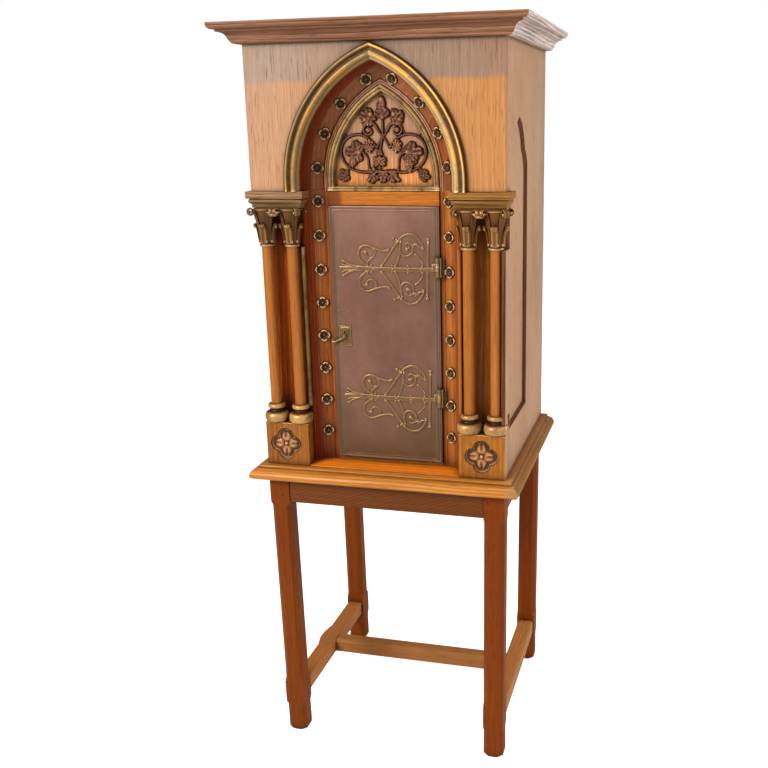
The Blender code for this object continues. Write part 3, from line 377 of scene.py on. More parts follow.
def gilt(name, gold, pale, grey, worn, metal, wood=(88, 50, 24), dark=(44, 24, 10),
         masked=False, crevice_shade_amount=.9, gain=None):
    """Aged gilding over oak, worn through to brown wood in patches, with a painted highlight on
    high points and painted shade in the crevices.

    With masked, the mesh's mask leads from painted shade on the lowest parts through wood to gold,
    and to a painted highlight on the tops.
    """
    t = Tree(name)
    place = t.coords()
    mottle = t.noise(place, (70, 70, 70), detail=4, roughness=.6)
    patch = t.noise(place, (18, 18, 18), detail=3, roughness=.55)
    fine = t.noise(place, (420, 420, 120), detail=2, roughness=.5)
    colour = t.mix(t.step(patch, .38, .62), gold, grey)
    rub = t.times_add(mottle, .65, t.times(patch, .35))
    rub = t.step(rub, .60 - worn * .2, .72 - worn * .2)
    opened = t.openness(.014)
    # painted highlight on the sharp high points
    high = t.step(t.pointiness(), .505, .56)
    colour = t.mix(t.times(high, .8), colour, pale)
    rub = t.times(rub, .75)
    colour = t.mix(rub, colour, t.mix(fine, scaled(wood, .7), wood))
    # painted shade in the crevices
    shade_in_crevices = t.times(t.step(opened, .88, .30), crevice_shade_amount)
    if masked:
        level = t.times_add(t.centred(mottle), .22, t.mask())
        bare = t.mix(fine, scaled(wood, .78), scaled(wood, 1.2))
        # by the mask: painted shade on the lowest parts, a painted highlight on the tops
        base = t.mix(t.step(level, .02, .30), dark, bare)
        base = t.mix(t.step(level, .48, .74), base, colour)
        colour = t.mix(t.step(level, .84, 1.0, high=.9), base, pale)
    colour = t.mix(shade_in_crevices, colour, dark)
    if masked:
        shine = t.math("SUBTRACT", t.step(level, .48, .80), t.math("MAXIMUM", rub, shade_in_crevices),
                       clamp=True)
    else:
        shine = t.math("SUBTRACT", 1.0, t.math("MAXIMUM", rub, shade_in_crevices))
    return t.surface(gain, Base_Color=colour, Roughness=t.times_add(mottle, .25, .30),
                     Metallic=t.times(shine, metal), Specular_IOR_Level=.22,
                     Specular_Tint=(1, .9, .76, 1), Coat_Weight=.04, Coat_Roughness=.3,
                     Coat_Tint=(1, .9, .76, 1),
                     Normal=t.bump(t.times_add(fine, .4, mottle), .0006, .45))


def carved(name, low, mid, high, gain=None):
    """Carved oak that lightens with the mask from its ground to its tops: painted shade on the
    ground, a painted highlight on the tops.
    """
    t = Tree(name)
    place = t.coords()
    fibre = fibres(t, warped(t, place))
    mottle = t.noise(place, (90, 90, 60), detail=3, roughness=.6)
    value = t.times_add(t.centred(mottle), .35, t.mask())
    value = t.times_add(t.centred(fibre), .25, value)
    colour = t.ramp(value, [(.06, low), (.48, mid), (.98, high)])
    # painted highlight on sharp points, then painted shade in the crevices
    colour = t.mix(t.step(t.pointiness(), .51, .60, high=.75), colour, high)
    crevices = t.step(t.openness(.010, samples=6), .80, .25, high=.92)
    colour = t.mix(crevices, colour, (34, 14, 6))
    return t.surface(gain, Base_Color=colour, Roughness=t.times_add(mottle, .25, .26),
                     Specular_IOR_Level=.3, Specular_Tint=(1, .86, .72, 1), Coat_Weight=.22,
                     Coat_Roughness=.22,
                     Normal=t.bump(t.times_add(fibre, .6, mottle), .0005, .5))


def copper_sheet(name, gain):
    """Thin aged copper-brass sheet, browner low down and duller toward its edges."""
    t = Tree(name)
    place = t.coords()
    cloud = t.noise(place, (9, 9, 5), detail=5, roughness=.6)
    mottle = t.noise(place, (55, 55, 40), detail=4, roughness=.6)
    fine = t.noise(place, (700, 700, 60), detail=2, roughness=.5)
    colour = t.mix(t.step(cloud, .32, .68), (118, 78, 62), (146, 100, 80))
    colour = t.mix(t.step(mottle, .45, .75, high=.45), colour, (112, 84, 66))
    # brown foot and pale top, with a ragged border in height
    z = t.times_add(t.centred(cloud), .25, t.along("Z"))
    brown = t.mix(mottle, (84, 58, 32), (114, 82, 48))
    colour = t.mix(t.step(z, .97, .76, high=.85), colour, brown)
    colour = t.mix(t.step(z, 1.24, 1.36, high=.25), colour, (170, 126, 104))
    # outer edges
    aside = t.times_add(t.centred(mottle), .02, t.math("ABSOLUTE", t.along("X")))
    colour = t.mix(t.step(aside, .100, .127, high=.65), colour, (112, 92, 66))
    # painted shade in the crevices and round the straps, then thin level scratches
    colour = t.mix(t.step(t.openness(.012), .93, .45, high=.8), colour, (52, 38, 22))
    scratch = t.noise(place, (40, 40, 900), detail=1, roughness=.5)
    colour = t.mix(t.step(scratch, .62, .72, high=.12), colour, (196, 158, 128))
    height = t.times_add(fine, .12, t.times_add(mottle, .5, cloud))
    return t.surface(gain, Base_Color=colour, Roughness=t.times_add(mottle, .30, .30),
                     Metallic=.45, Normal=t.bump(height, distance=.0011, strength=.35))


def fitting(name, base, high, low, metal, roughness=.34, gain=None):
    """Old cast or forged metal: high on the edges, partly worn and partly a painted highlight, and
    low in the crevices.
    """
    t = Tree(name)
    place = t.coords()
    mottle = t.noise(place, (60, 60, 60), detail=4, roughness=.6)
    fine = t.noise(place, (500, 500, 500), detail=2, roughness=.5)
    colour = t.mix(mottle, scaled(base, .75), scaled(base, 1.2))
    edges_worn_and_lit = t.math("MAXIMUM", t.step(t.pointiness(), .51, .57), t.times(t.edges(.0008), .6))
    colour = t.mix(t.times(edges_worn_and_lit, .75), colour, high)
    colour = t.mix(t.step(t.openness(.007), .85, .35, high=.85), colour, low)
    return t.surface(gain, Base_Color=colour,
                     Roughness=t.times_add(mottle, .28, roughness - .06), Metallic=metal,
                     Normal=t.bump(t.times_add(fine, .35, mottle), .0004, .5))


def floor_finish():
    """Pale floor that glows to white for the camera, the more so with distance."""
    t = Tree("pale_floor")
    place = t.node("ShaderNodeTexCoord").outputs["Object"]
    pale = (236, 234, 230)
    cloud = t.raw_noise(place, scale=3.0, detail=3, roughness=.5)
    colour = t.mix(cloud, scaled(pale, .985), pale)
    glow = t.step(t.vec("LENGTH", place), .9, 3.2, low=.74, high=1.05)
    seen = t.node("ShaderNodeLightPath").outputs["Is Camera Ray"]
    return t.surface(Base_Color=colour, Roughness=.95, Specular_IOR_Level=.1,
                     Emission_Color=(1, 1, 1, 1), Emission_Strength=t.times(seen, glow))


# ------------------------------------------------------------------ the finishes
def stand_finishes():
    oak("leg_oak", "Z", ((84, 36, 8), (136, 70, 18), (164, 94, 34)), ring=30, coat=.12,
        ring_weight=.22, fibre_weight=.36, contrast=.62, stretch=.06, specular=.12,
        gain=(.68, .55, .08))
    oak("apron_oak", "X", ((84, 40, 10), (128, 70, 20), (158, 94, 38)), ring=26, coat=.12,
        ring_weight=.2, fibre_weight=.36, contrast=.7, gain=(.62, .54, .26),
        stripe=dict(direction=(0.0, .93, -.37), frequency=820.0, colour=(84, 40, 10),
                    amount=.45))
    oak("apron_oak_side", "Y", ((66, 28, 6), (124, 66, 20), (162, 98, 42)), ring=30, coat=.12,
        gain=(.64, .54, .26))
    for name, axis, gain in (("stretcher_oak", "X", (1.0, 1.3, 1.9)),
                             ("stretcher_oak_side", "Y", (1.25, 1.5, 2.2))):
        oak(name, axis, ((92, 48, 16), (146, 86, 34), (178, 116, 56)), ring=30, coat=.15,
            ring_weight=.2, fibre_weight=.34, contrast=.62, edge_wear_and_highlight=(232, 180, 120), gain=gain)
    # The right end of the top is greyed, and its right-facing end faces get a greyer copy below:
    # painted light from the side.
    right_end_light = Fade("X", .27, .33, (150, 122, 98), .6)
    for name, fades, gain in (("top_oak", [right_end_light], (.86, 1.06, 1.32)),
                              ("top_oak_side", [], (.45, .68, 1.2))):
        oak(name, "X", ((124, 58, 10), (194, 108, 30), (226, 148, 64)), ring=36, coat=.30,
            ring_weight=.26, fibre_weight=.45, edge_wear_and_highlight=(248, 196, 128), edge_wear_and_highlight_amount=.6,
            roughness=(.28, .46), fades=fades, gain=gain)


def case_finishes():
    # Pale, greyer colour for the side faces, a painted sheen, greyer still toward the back.
    oak("side_oak", "Z", ((120, 84, 60), (176, 132, 98), (202, 162, 126)), ring=34, coat=.06,
        ring_weight=.3, fibre_weight=.5, crevice_shade=(84, 40, 16), crevice_shade_amount=.85,
        edge_wear_and_highlight=(210, 172, 138), edge_wear_and_highlight_amount=.3, roughness=(.42, .62),
        fades=[Fade("Y", .18, .30, (150, 118, 104), .55)], gain=(.91, 1.0, 1.1))
    oak("sill_oak", "X", ((124, 58, 8), (196, 104, 22), (224, 136, 44)), ring=36, coat=.30,
        ring_weight=.26, fibre_weight=.45, roughness=(.3, .46), gain=(1.5, 1.6, 1.0))
    # Dark finish for the walls of the side recess and of the strip behind the columns: painted
    # shade.
    oak("recess_shade_oak", "Z", ((48, 20, 6), (92, 48, 20), (122, 70, 34)), ring=34, coat=.1,
        crevice_shade=(30, 12, 4), edge_wear_and_highlight=(150, 100, 62))
    oak("back_oak", "Z", ((96, 66, 44), (142, 106, 76), (172, 136, 102)), ring=30, coat=.04,
        roughness=(.5, .7))
    oak("lid_oak", "X", ((92, 60, 38), (146, 104, 70), (178, 136, 96)), ring=30, coat=.08,
        roughness=(.45, .65))
    oak("cornice_oak", "X", ((74, 40, 20), (136, 88, 56), (176, 126, 86)), ring=44, coat=.1,
        edge_wear_and_highlight=(220, 178, 130), edge_wear_and_highlight_amount=.55, gain=(.84, .92, 1.2))
    # Paler, bluer copy with its grain along Y for the side runs: the paleness is a painted sheen.
    oak("cornice_oak_side", "Y", ((84, 54, 36), (150, 112, 84), (190, 150, 120)), ring=44,
        coat=.1, edge_wear_and_highlight=(226, 196, 164), edge_wear_and_highlight_amount=.5, gain=(1.7, 2.6, 4.2))
    # The Z fade greys the band along the top as a painted shadow of the cornice; the X fade greys
    # the left as painted cool light.
    oak("head_oak", "Z", ((148, 84, 38), (200, 132, 74), (222, 160, 98)), ring=44, coat=.08,
        ring_weight=.24, fibre_weight=.46, contrast=.72, crevice_shade_amount=.85,
        fades=[Fade("Z", 1.592, 1.606, (148, 122, 104), .80),
               Fade("X", .06, -.26, (186, 162, 142), .42)], gain=(.78, .87, 1.0))


def column_finishes():
    # Left and right copies of the pedestal finish, differing only in colour balance: painted light
    # and shade.
    for name, gain in (("pedestal_oak", (.78, .86, .66)),
                       ("pedestal_oak_right", (.90, 1.0, .50))):
        oak(name, "Z", ((112, 56, 16), (160, 92, 38), (190, 122, 58)), ring=44, coat=.12,
            ring_weight=.24, fibre_weight=.45, gain=gain)
    # Left and right copies of the impost finish, differing only in colour balance: painted light
    # and shade.
    for name, gain in (("impost_oak", (.74, .88, 1.2)), ("impost_oak_right", (.90, .84, .45))):
        oak(name, "X", ((88, 52, 24), (148, 104, 62), (188, 146, 92)), ring=44, coat=.1,
            edge_wear_and_highlight=(226, 186, 128), edge_wear_and_highlight_amount=.6, gain=gain)
    oak("shaft_oak", "Z", ((110, 54, 14), (164, 94, 36), (196, 126, 58)), ring=40, coat=.25,
        ring_weight=.22, fibre_weight=.42, contrast=.72, roughness=(.3, .48),
        gain=(.96, 1.04, 1.1))


def surround_finishes():
    # Left and right copies of the jamb finish, differing only in colour balance: painted light and
    # shade.
    for name, gain in (("jamb_oak", (.82, .80, .62)), ("jamb_oak_right", (1.05, 1.30, 1.5))):
        oak(name, "Z", ((84, 34, 6), (150, 78, 24), (186, 110, 44)), ring=40, coat=.2,
            ring_weight=.26, fibre_weight=.5, crevice_shade=(36, 8, 2), crevice_shade_amount=.95,
            roughness=(.3, .5), crevice=.045, gain=gain)
    # Left copy of the corner board finish, tuned to the light on its side: painted light and
    # shade, with the right copy below.
    oak("corner_oak", "Z", ((44, 18, 4), (84, 42, 12), (112, 62, 22)), ring=52, coat=.1,
        crevice_shade=(24, 4, 2), crevice_shade_amount=.95, crevice=.05, specular=.2, gain=(5.3, 3.7, .18))
    oak("stile_oak", "Z", ((120, 56, 12), (184, 102, 36), (212, 136, 62)), ring=44, coat=.2,
        ring_weight=.26, fibre_weight=.5, crevice_shade=(50, 16, 4), crevice_shade_amount=.85,
        gain=(.62, .48, .38))
    # The X fade darkens the left end by the jamb: painted shade.
    oak("rail_oak", "X", ((122, 58, 12), (192, 110, 38), (220, 142, 62)), ring=34, coat=.2,
        ring_weight=.24, fibre_weight=.45, crevice_shade=(60, 20, 4),
        fades=[Fade("X", -.090, -.106, (84, 32, 8), .95)], gain=(.72, .76, .48))
    oak("band_oak", "Z", ((74, 30, 8), (136, 74, 30), (172, 108, 58)), ring=36, coat=.25,
        ring_weight=.26, fibre_weight=.45, crevice_shade=(40, 8, 3), crevice_shade_amount=.97, crevice=.04,
        fades=[Fade("Z", 1.47, 1.58, (140, 100, 76), .5)], gain=(.95, .98, .95))
    # Dark copies for the coves on the left, in the arch and the jambs: painted shade.
    for name, specular, gain in (("cove_dark", .2, (2.8, 2.7, .55)),
                                 ("cove_arch_dark", .24, (2.3, 2.2, 1.0))):
        oak(name, "Z", ((34, 8, 3), (70, 20, 8), (98, 40, 18)), ring=40, coat=.3,
            contrast=.8, crevice_shade=(24, 4, 2), crevice=.05, specular=specular, gain=gain)
    # Lighter copy for the coves on the right: painted light.
    oak("cove_oak", "Z", ((74, 32, 14), (118, 60, 32), (146, 88, 54)), ring=40, coat=.2,
        contrast=.8, crevice_shade=(50, 14, 6), gain=(1.4, 1.35, 1.05))
    # Right copy of the corner board finish: painted light and shade, as for the left.
    oak("corner_oak_right", "Z", ((52, 30, 8), (92, 56, 18), (120, 78, 34)), ring=44, coat=.15,
        contrast=.8, crevice_shade=(36, 14, 2), crevice=.05, gain=(3.0, 2.2, .35))
    # Light finish for the front top faces of the pedestals: a painted highlight.
    oak("pedestal_top_highlight_oak", "X", ((150, 92, 60), (214, 156, 118), (240, 200, 168)), ring=40,
        coat=.1, contrast=.8)
    # Dark finish for the front and back of the small side block: painted shade.
    oak("cheek_shade_oak", "Z", ((60, 28, 16), (108, 62, 40), (136, 88, 60)), ring=40, coat=.1)
    oak("frame_arch_oak", "Z", ((90, 50, 24), (154, 102, 62), (184, 136, 94)), ring=40,
        coat=.2, crevice_shade=(44, 16, 4), crevice_shade_amount=.9,
        fades=[Fade("Z", 1.45, 1.55, (152, 118, 98), .6)], gain=(1.35, 1.4, 1.7))
    oak("tympanum_oak", "Z", ((104, 60, 24), (170, 112, 58), (200, 146, 84)), ring=40, coat=.2,
        ring_weight=.24, fibre_weight=.45, crevice_shade=(50, 20, 6), crevice_shade_amount=.95, crevice=.020,
        fades=[Fade("Z", 1.395, 1.46, (128, 104, 84), .80)], gain=(1.50, 1.45, 1.5))
    oak("door_oak", "Z", ((88, 50, 24), (140, 92, 54), (176, 126, 82)), ring=40, coat=.15)


def gilt_finishes():
    # Left and right copies of the hood gilding, the right much lighter: painted light and shade.
    for name, gain in (("gilt_hood", (1.55, 1.45, 1.15)),
                       ("gilt_hood_right", (2.9, 2.8, 2.5))):
        gilt(name, gold=(158, 114, 46), pale=(206, 178, 130), grey=(116, 98, 70),
             wood=(108, 90, 66), worn=.35, metal=.35, masked=True, dark=(44, 20, 4), gain=gain)
    gilt("gilt_roll", gold=(112, 84, 44), pale=(150, 122, 76), grey=(86, 66, 40), worn=.5,
         metal=.35)
    gilt("gilt_bead", gold=(160, 136, 72), pale=(204, 184, 112), grey=(122, 104, 66), worn=.4,
         metal=.35, gain=(1.3, 1.15, 1.4))
    # Left and right copies of the capital gilding, differing only in colour balance: painted light
    # and shade.
    for name, gain in (("gilt_capital", (.66, .60, .74)),
                       ("gilt_capital_right", (.80, .67, .75))):
        gilt(name, gold=(142, 108, 52), pale=(216, 178, 112), grey=(112, 84, 46),
             wood=(112, 74, 28), worn=.45, metal=.35, masked=True, dark=(34, 14, 4), gain=gain)
    gilt("gilt_base", gold=(170, 132, 78), pale=(240, 208, 150), grey=(134, 104, 68),
         wood=(96, 58, 28), worn=.42, metal=.4, masked=True, dark=(40, 20, 8),
         gain=(1.3, 1.26, 1.25))
    gilt("gilt_rosette", gold=(156, 122, 74), pale=(222, 192, 146), grey=(128, 102, 66),
         wood=(84, 54, 24), worn=.3, metal=.2, masked=True, crevice_shade_amount=.62)


def carved_and_metal_finishes():
    carved("vine_oak", low=(36, 14, 6), mid=(120, 60, 28), high=(236, 158, 108),
           gain=(.40, .41, .46))
    carved("flower_oak", low=(50, 27, 6), mid=(112, 74, 30), high=(214, 148, 104))
    copper_sheet("copper_sheet", gain=(.80, .83, .88))
    fitting("hinge_brass", (116, 86, 54), high=(216, 178, 128), low=(44, 30, 16), metal=.5)
    fitting("knuckle_brass", (84, 60, 32), high=(180, 144, 96), low=(34, 22, 10), metal=.5,
            gain=(.6, .6, .6))
    fitting("lock_brass", (140, 112, 66), high=(236, 206, 150), low=(40, 30, 14), metal=.7,
            roughness=.3, gain=(.62, .60, .60))
    fitting("lock_steel", (110, 106, 100), high=(190, 188, 182), low=(40, 38, 34), metal=.9,
            roughness=.35)
    # Dark finish for the keyhole's disc and slot, which stand for its shaded hollow: painted
    # shade.
    fitting("keyhole_shade", (16, 12, 8), high=(22, 18, 12), low=(6, 4, 2), metal=.1,
            roughness=.7)
    oak("peg_oak", "Y", ((40, 18, 6), (84, 42, 16), (112, 62, 28)), ring=160, coat=.2)


# ------------------------------------------------------------------ mesh helpers
# A part is a pair: vertices and faces.
class Soup:
    """Collects closed parts, each with its mask, that end up in one mesh."""

    def __init__(self):
        self.vertices, self.faces, self.masks, self.count = [], [], [], 0

    def add(self, part, mask=.5):
        vertices, faces = part
        self.vertices.append(np.asarray(vertices, float))
        self.faces += [tuple(i + self.count for i in face) for face in faces]
        self.masks.append(np.broadcast_to(np.asarray(mask, float), (len(vertices),)))
        self.count += len(vertices)

    def part(self):
        return np.concatenate(self.vertices), self.faces

    def mask(self):
        return np.concatenate(self.masks)


def enter(name, mesh, finish, node, seed_text=None, replace=True, weighted=False,
          keep_sharp=False):
    """Put a mesh in the scene riding with its CAD node; seed_text seeds its textures."""
    mesh.materials.append(FINISH[finish])
    ob = bpy.data.objects.new(name, mesh)
    bpy.context.scene.collection.objects.link(ob)
    if weighted:
        normals = ob.modifiers.new("wn", "WEIGHTED_NORMAL")
        normals.keep_sharp = keep_sharp
        normals.weight = 90
    text = seed_text or name
    ob["seed"] = float((sum(ord(c) * (i + 3) for i, c in enumerate(text)) % 997) * .0137)
    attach(ob, BODY[node])
    if replace:
        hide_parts(node)
    return ob


def put(name, part, finish, node, replace=False, mask=None, sharp=36, fix_normals=True):
    """Make a part an object; sharp is the smoothing limit in degrees, 0 for none."""
    vertices, faces = part
    vertices = np.array(vertices, float) + np.array([0, FRONT, 0])
    mesh = bpy.data.meshes.new(name)
    mesh.from_pydata(vertices.tolist(), [], [list(face) for face in faces])
    mesh.validate()
    if mask is not None:
        attribute = mesh.attributes.new("mask", "FLOAT", "POINT")
        attribute.data.foreach_set("value", np.asarray(mask, np.float32))
    if fix_normals:
        bm = bmesh.new()
        bm.from_mesh(mesh)
        bmesh.ops.recalc_face_normals(bm, faces=bm.faces)
        bm.to_mesh(mesh)
        bm.free()
    mesh.shade_smooth()
    if sharp:
        mesh.set_sharp_from_angle(angle=math.radians(sharp))
    return enter(name, mesh, finish, node, replace=replace)


def stand_in(node, part, finish, **options):
    """A part that replaces the CAD node of the same name."""
    return put(node + "_v", part, finish, node, replace=True, **options)


def dress(node, finish, bevel, segments=3, angle=26, clamp=True):
    """A copy of a CAD node with rounded edges; angle is the least that gets a bevel."""
    bm = bmesh.new()
    bm.from_mesh(NODES[node].data)
    bmesh.ops.remove_doubles(bm, verts=bm.verts, dist=2e-5)
    bmesh.ops.dissolve_limit(bm, angle_limit=math.radians(1.0), use_dissolve_boundaries=False,
                             verts=bm.verts, edges=bm.edges)
    bmesh.ops.recalc_face_normals(bm, faces=bm.faces)
    edges = [e for e in bm.edges
             if len(e.link_faces) == 2 and e.calc_face_angle(0) > math.radians(angle)]
    corners = list({v for e in edges for v in e.verts})
    bmesh.ops.bevel(bm, geom=edges + corners, offset=bevel, offset_type="OFFSET",
                    segments=segments, profile=.5, affect="EDGES", clamp_overlap=clamp)
    bmesh.ops.remove_doubles(bm, verts=bm.verts, dist=5e-6)
    mesh = bpy.data.meshes.new(node + "_v")
    bm.to_mesh(mesh)
    bm.free()
    mesh.shade_smooth()
    return enter(node + "_v", mesh, finish, node, seed_text=node, weighted=True,
                 keep_sharp=True)


def prism(name, node, plan, z0, z1, finish, bevel, side=1):
    """Upright run of a plan outline with eased edges, mirrored when side is -1."""
    bm = bmesh.new()
    low, high = [[bm.verts.new((side * x, y + FRONT, z)) for x, y in plan] for z in (z0, z1)]
    bm.faces.new(low)
    bm.faces.new(high)
    for i in range(len(plan)):
        j = (i + 1) % len(plan)
        bm.faces.new((low[i], low[j], high[j], high[i]))
    bmesh.ops.recalc_face_normals(bm, faces=bm.faces)
    edges = [e for e in bm.edges if e.calc_face_angle(0) > .4]
    bmesh.ops.bevel(bm, geom=edges + list(bm.verts), offset=bevel, offset_type="OFFSET",
                    segments=3, profile=.5, affect="EDGES", clamp_overlap=True)
    mesh = bpy.data.meshes.new(name)
    bm.to_mesh(mesh)
    bm.free()
    mesh.shade_smooth()
    return enter(name, mesh, finish, node, weighted=True)


def add_finishes(ob, *names):
    for name in names:
        ob.data.materials.append(FINISH[name])


def finish_by_side(ob, left, right, test):
    """Give the faces that pass test(face, arch radius) the left or the right finish, a shaded and
    a lit copy: painted shade on the left, painted light on the right.
    """
    add_finishes(ob, left, right)
    for face in ob.data.polygons:
        if test(face, arch_radius(abs(face.center.x), face.center.z)):
            face.material_index = 1 if face.center.x < 0 else 2


def tube(rings):
    """Closed rings of points joined one to the next, with both ends capped."""
    rings = np.asarray(rings, float)
    n, m = rings.shape[:2]
    faces = [(i * m + j, i * m + (j + 1) % m, (i + 1) * m + (j + 1) % m, (i + 1) * m + j)
             for i in range(n - 1) for j in range(m)]
    faces.append(tuple(range(m - 1, -1, -1)))
    faces.append(tuple((n - 1) * m + j for j in range(m)))
    return rings.reshape(-1, 3), faces


def smooth_line(points, k, sharp=()):
    """Catmull-Rom curve, k steps to a span, broken at the indices in sharp."""
    P = [np.array(p, float) for p in points]
    n = len(P)
    out = []
    for i in range(n - 1):
        p1, p2 = P[i], P[i + 1]
        p0 = P[i - 1] if i > 0 and i not in sharp else 2 * p1 - p2
        p3 = P[i + 2] if i + 2 < n and i + 1 not in sharp else 2 * p2 - p1
        for j in range(k):
            t = j / k
            out.append(.5 * ((2 * p1) + (p2 - p0) * t
                             + (2 * p0 - 5 * p1 + 4 * p2 - p3) * t * t
                             + (-p0 + 3 * p1 - 3 * p2 + p3) * t ** 3))
    out.append(P[-1])
    return np.array(out)


def lathe(profile, cx, cy, segments, wobble=0.0):
    """Turn (radius, z) points round an upright axis; wobble makes it a little uneven."""
    profile = np.asarray(profile, float)
    a = np.linspace(0, 2 * math.pi, segments, endpoint=False)
    z = profile[:, 1][:, None]
    r = profile[:, 0][:, None] * (1 + wobble * np.sin(a * 3 + z * 9))
    return tube(np.stack([cx + r * np.cos(a), cy + r * np.sin(a),
                          np.repeat(z, segments, 1)], -1))


def lathe_forward(profile, x, y, z, segments, wobble=0.0):
    """Turn (radius, height) points round an axis that points to the front."""
    v, faces = lathe(profile, 0, 0, segments, wobble)
    return np.stack([v[:, 0] + x, y - v[:, 2], v[:, 1] + z], -1), faces


def ball(centre, radius, scale, n, m):
    """Ellipsoid of n rings of m points."""
    theta = np.linspace(.02, math.pi - .02, n)
    phi = np.linspace(0, 2 * math.pi, m, endpoint=False)
    P = np.stack([np.sin(theta)[:, None] * np.cos(phi), np.sin(theta)[:, None] * np.sin(phi),
                  np.repeat(np.cos(theta)[:, None], m, 1)], -1)
    return tube(P * radius * np.array(scale) + np.array(centre))


def arch_radius(x, z):
    """Half-width, at the springing line, of the arch line through (x, z)."""
    return math.hypot(x + ARCH_OFFSET, z - ARCH_SPRING) - ARCH_OFFSET if z > ARCH_SPRING else x


def sweep_arch(section, z_low):
    """Run (half-width, depth) points up from z_low, over the pointed arch and down again."""
    straight_steps, arc_steps = 6, 56
    lines = []
    for half_width, y in section:
        r = ARCH_OFFSET + half_width
        top = math.acos(ARCH_OFFSET / r)
        half = [(half_width, y, z_low + (ARCH_SPRING - z_low) * i / straight_steps)
                for i in range(straight_steps)]
        half += [(r * math.cos(top * j / arc_steps) - ARCH_OFFSET, y,
                  ARCH_SPRING + r * math.sin(top * j / arc_steps))
                 for j in range(arc_steps + 1)]
        lines.append(half + [(-x, y, z) for x, y, z in reversed(half[:-1])])
    return tube(np.array(lines).transpose(1, 0, 2))


def rounded_front(left, right, front, radius):
    """Plan points of the two rounded front corners of a block."""
    return [(cx + radius * math.cos(math.radians(start + turn)),
             front + radius + radius * math.sin(math.radians(start + turn)))
            for cx, start in ((left + radius, 180), (right - radius, 270))
            for turn in (0, 30, 60, 90)]


def rim_loft(profile, x0, x1, y0, y1, corner):
    """Block whose front and sides stand out by the (projection, z) profile; flat back."""
    rings = []
    for out, z in profile:
        left, right = x0 - out, x1 + out
        plan = rounded_front(left, right, y0 - out, corner) + [(right, y1), (left, y1)]
        rings.append([(x, y, z) for x, y in plan])
    return tube(rings)


def framed_plate(profile, x0, x1, z0, z1, side_points):
    """Rectangular plate whose (inset, depth) profile runs in from its edges."""
    rings = []
    for d, y in profile:
        corners = np.array([(x0 + d, y, z0 + d), (x1 - d, y, z0 + d),
                            (x1 - d, y, z1 - d), (x0 + d, y, z1 - d)])
        rings.append([(1 - t) * corners[k] + t * corners[(k + 1) % 4] for k in range(4)
                      for t in np.linspace(0, 1, side_points, endpoint=False)])
    return tube(rings)


# ------------------------------------------------------------------ stand
# side, peg, x, z
LEG_PEGS = (("left", "a", -.2614, .6714), ("left", "b", -.2560, .6487),
            ("right", "a", .2480, .6690), ("right", "b", .2420, .6480))
PEG_RADIUS, PEG_DOME, PEG_Y = .0036, .0009, -.0023


def build_stand():
    for place in ("front_left", "front_right", "rear_left", "rear_right"):
        dress("leg_" + place, "leg_oak", bevel=.0014, angle=20)
    for place in ("front", "rear"):
        dress("apron_" + place, "apron_oak", bevel=.0008)
    for place in ("left", "right"):
        dress("apron_" + place, "apron_oak_side", bevel=.0008)
    for place in ("left", "right"):
        dress("stretcher_" + place, "stretcher_oak_side", bevel=.0012, angle=30)
    dress("stretcher_cross", "stretcher_oak", bevel=.0010, angle=30)

    # round pegs standing a hair proud of the front legs
    r, dome = PEG_RADIUS, PEG_DOME
    profile = [(.0001, -.004), (r * 1.02, -.004), (r, dome * .2), (r * .93, dome * .62),
               (r * .7, dome * .9), (r * .35, dome), (.0001, dome * 1.02)]
    for side, letter, x, z in LEG_PEGS:
        put(f"peg_{side}_{letter}", lathe_forward(profile, x, PEG_Y, z, 22, wobble=.03),
            "peg_oak", "leg_front_" + side)


# Stand top (projection, z): bead, quirk, broad rounded nosing, eased upper step
TOP_EDGE = smooth_line([
    (.0215, .6918), (.0290, .6950), (.0330, .6978), (.0354, .7004), (.0363, .7030),
    (.0364, .7058), (.0356, .7092), (.0336, .7130), (.0306, .7164), (.0268, .7188),
    (.0226, .7202), (.0196, .7208), (.0178, .7212), (.0167, .7218), (.0164, .7226),
    (.0172, .7231), (.0184, .7240), (.0187, .7256), (.0180, .7268), (.0166, .7275)],
    5, sharp=(0, 12, 14))
TOP_INSETS = (.0150, .0090, .0030, -.02, -.12, -.2)     # rings across the flat top


def build_stand_top():
    profile = np.vstack([TOP_EDGE, [(inset, .7275) for inset in TOP_INSETS]])
    part = rim_loft(profile, -HALF_WIDTH, HALF_WIDTH, 0, DEPTH, corner=.0008)
    ob = stand_in("stand_top", part, "top_oak", sharp=50)
    add_finishes(ob, "top_oak_side")
    # The right end faces take the greyer end copy: painted light.
    for face in ob.data.polygons:
        if face.normal.x > .3 and face.center.x > .28:
            face.material_index = 1


# ------------------------------------------------------------------ case
def in_side_recess(face):
    """Steep walls of the sunk field, or of the narrow strip behind the columns."""
    x, y, z = abs(face.center.x), face.center.y - FRONT, face.center.z
    steep = abs(face.normal.x) < .8
    field = (HALF_WIDTH - .0092 < x < HALF_WIDTH - .0004 and .0565 < y < .2765
             and .83 < z < 1.53)
    strip = x > .2782 and -.02 < y < .0056 and .86 < z < 1.26
    return steep and (field or strip)


def build_case():
    for side in ("left", "right"):
        ob = dress("side_panel_" + side, "side_oak", bevel=.0009, angle=30, clamp=False)
        add_finishes(ob, "recess_shade_oak")
        # The recess walls take the dark finish: painted shade.
        for face in ob.data.polygons:
            if in_side_recess(face):
                face.material_index = 1
    dress("back_panel", "back_oak", bevel=.0012)
    dress("case_lid", "lid_oak", bevel=.0008)
    dress("case_floor", "top_oak", bevel=.0010)


CORNICE_GAP = .0003       # between the cornice and the case
MITRE_GAP = .00015        # each side of a mitre
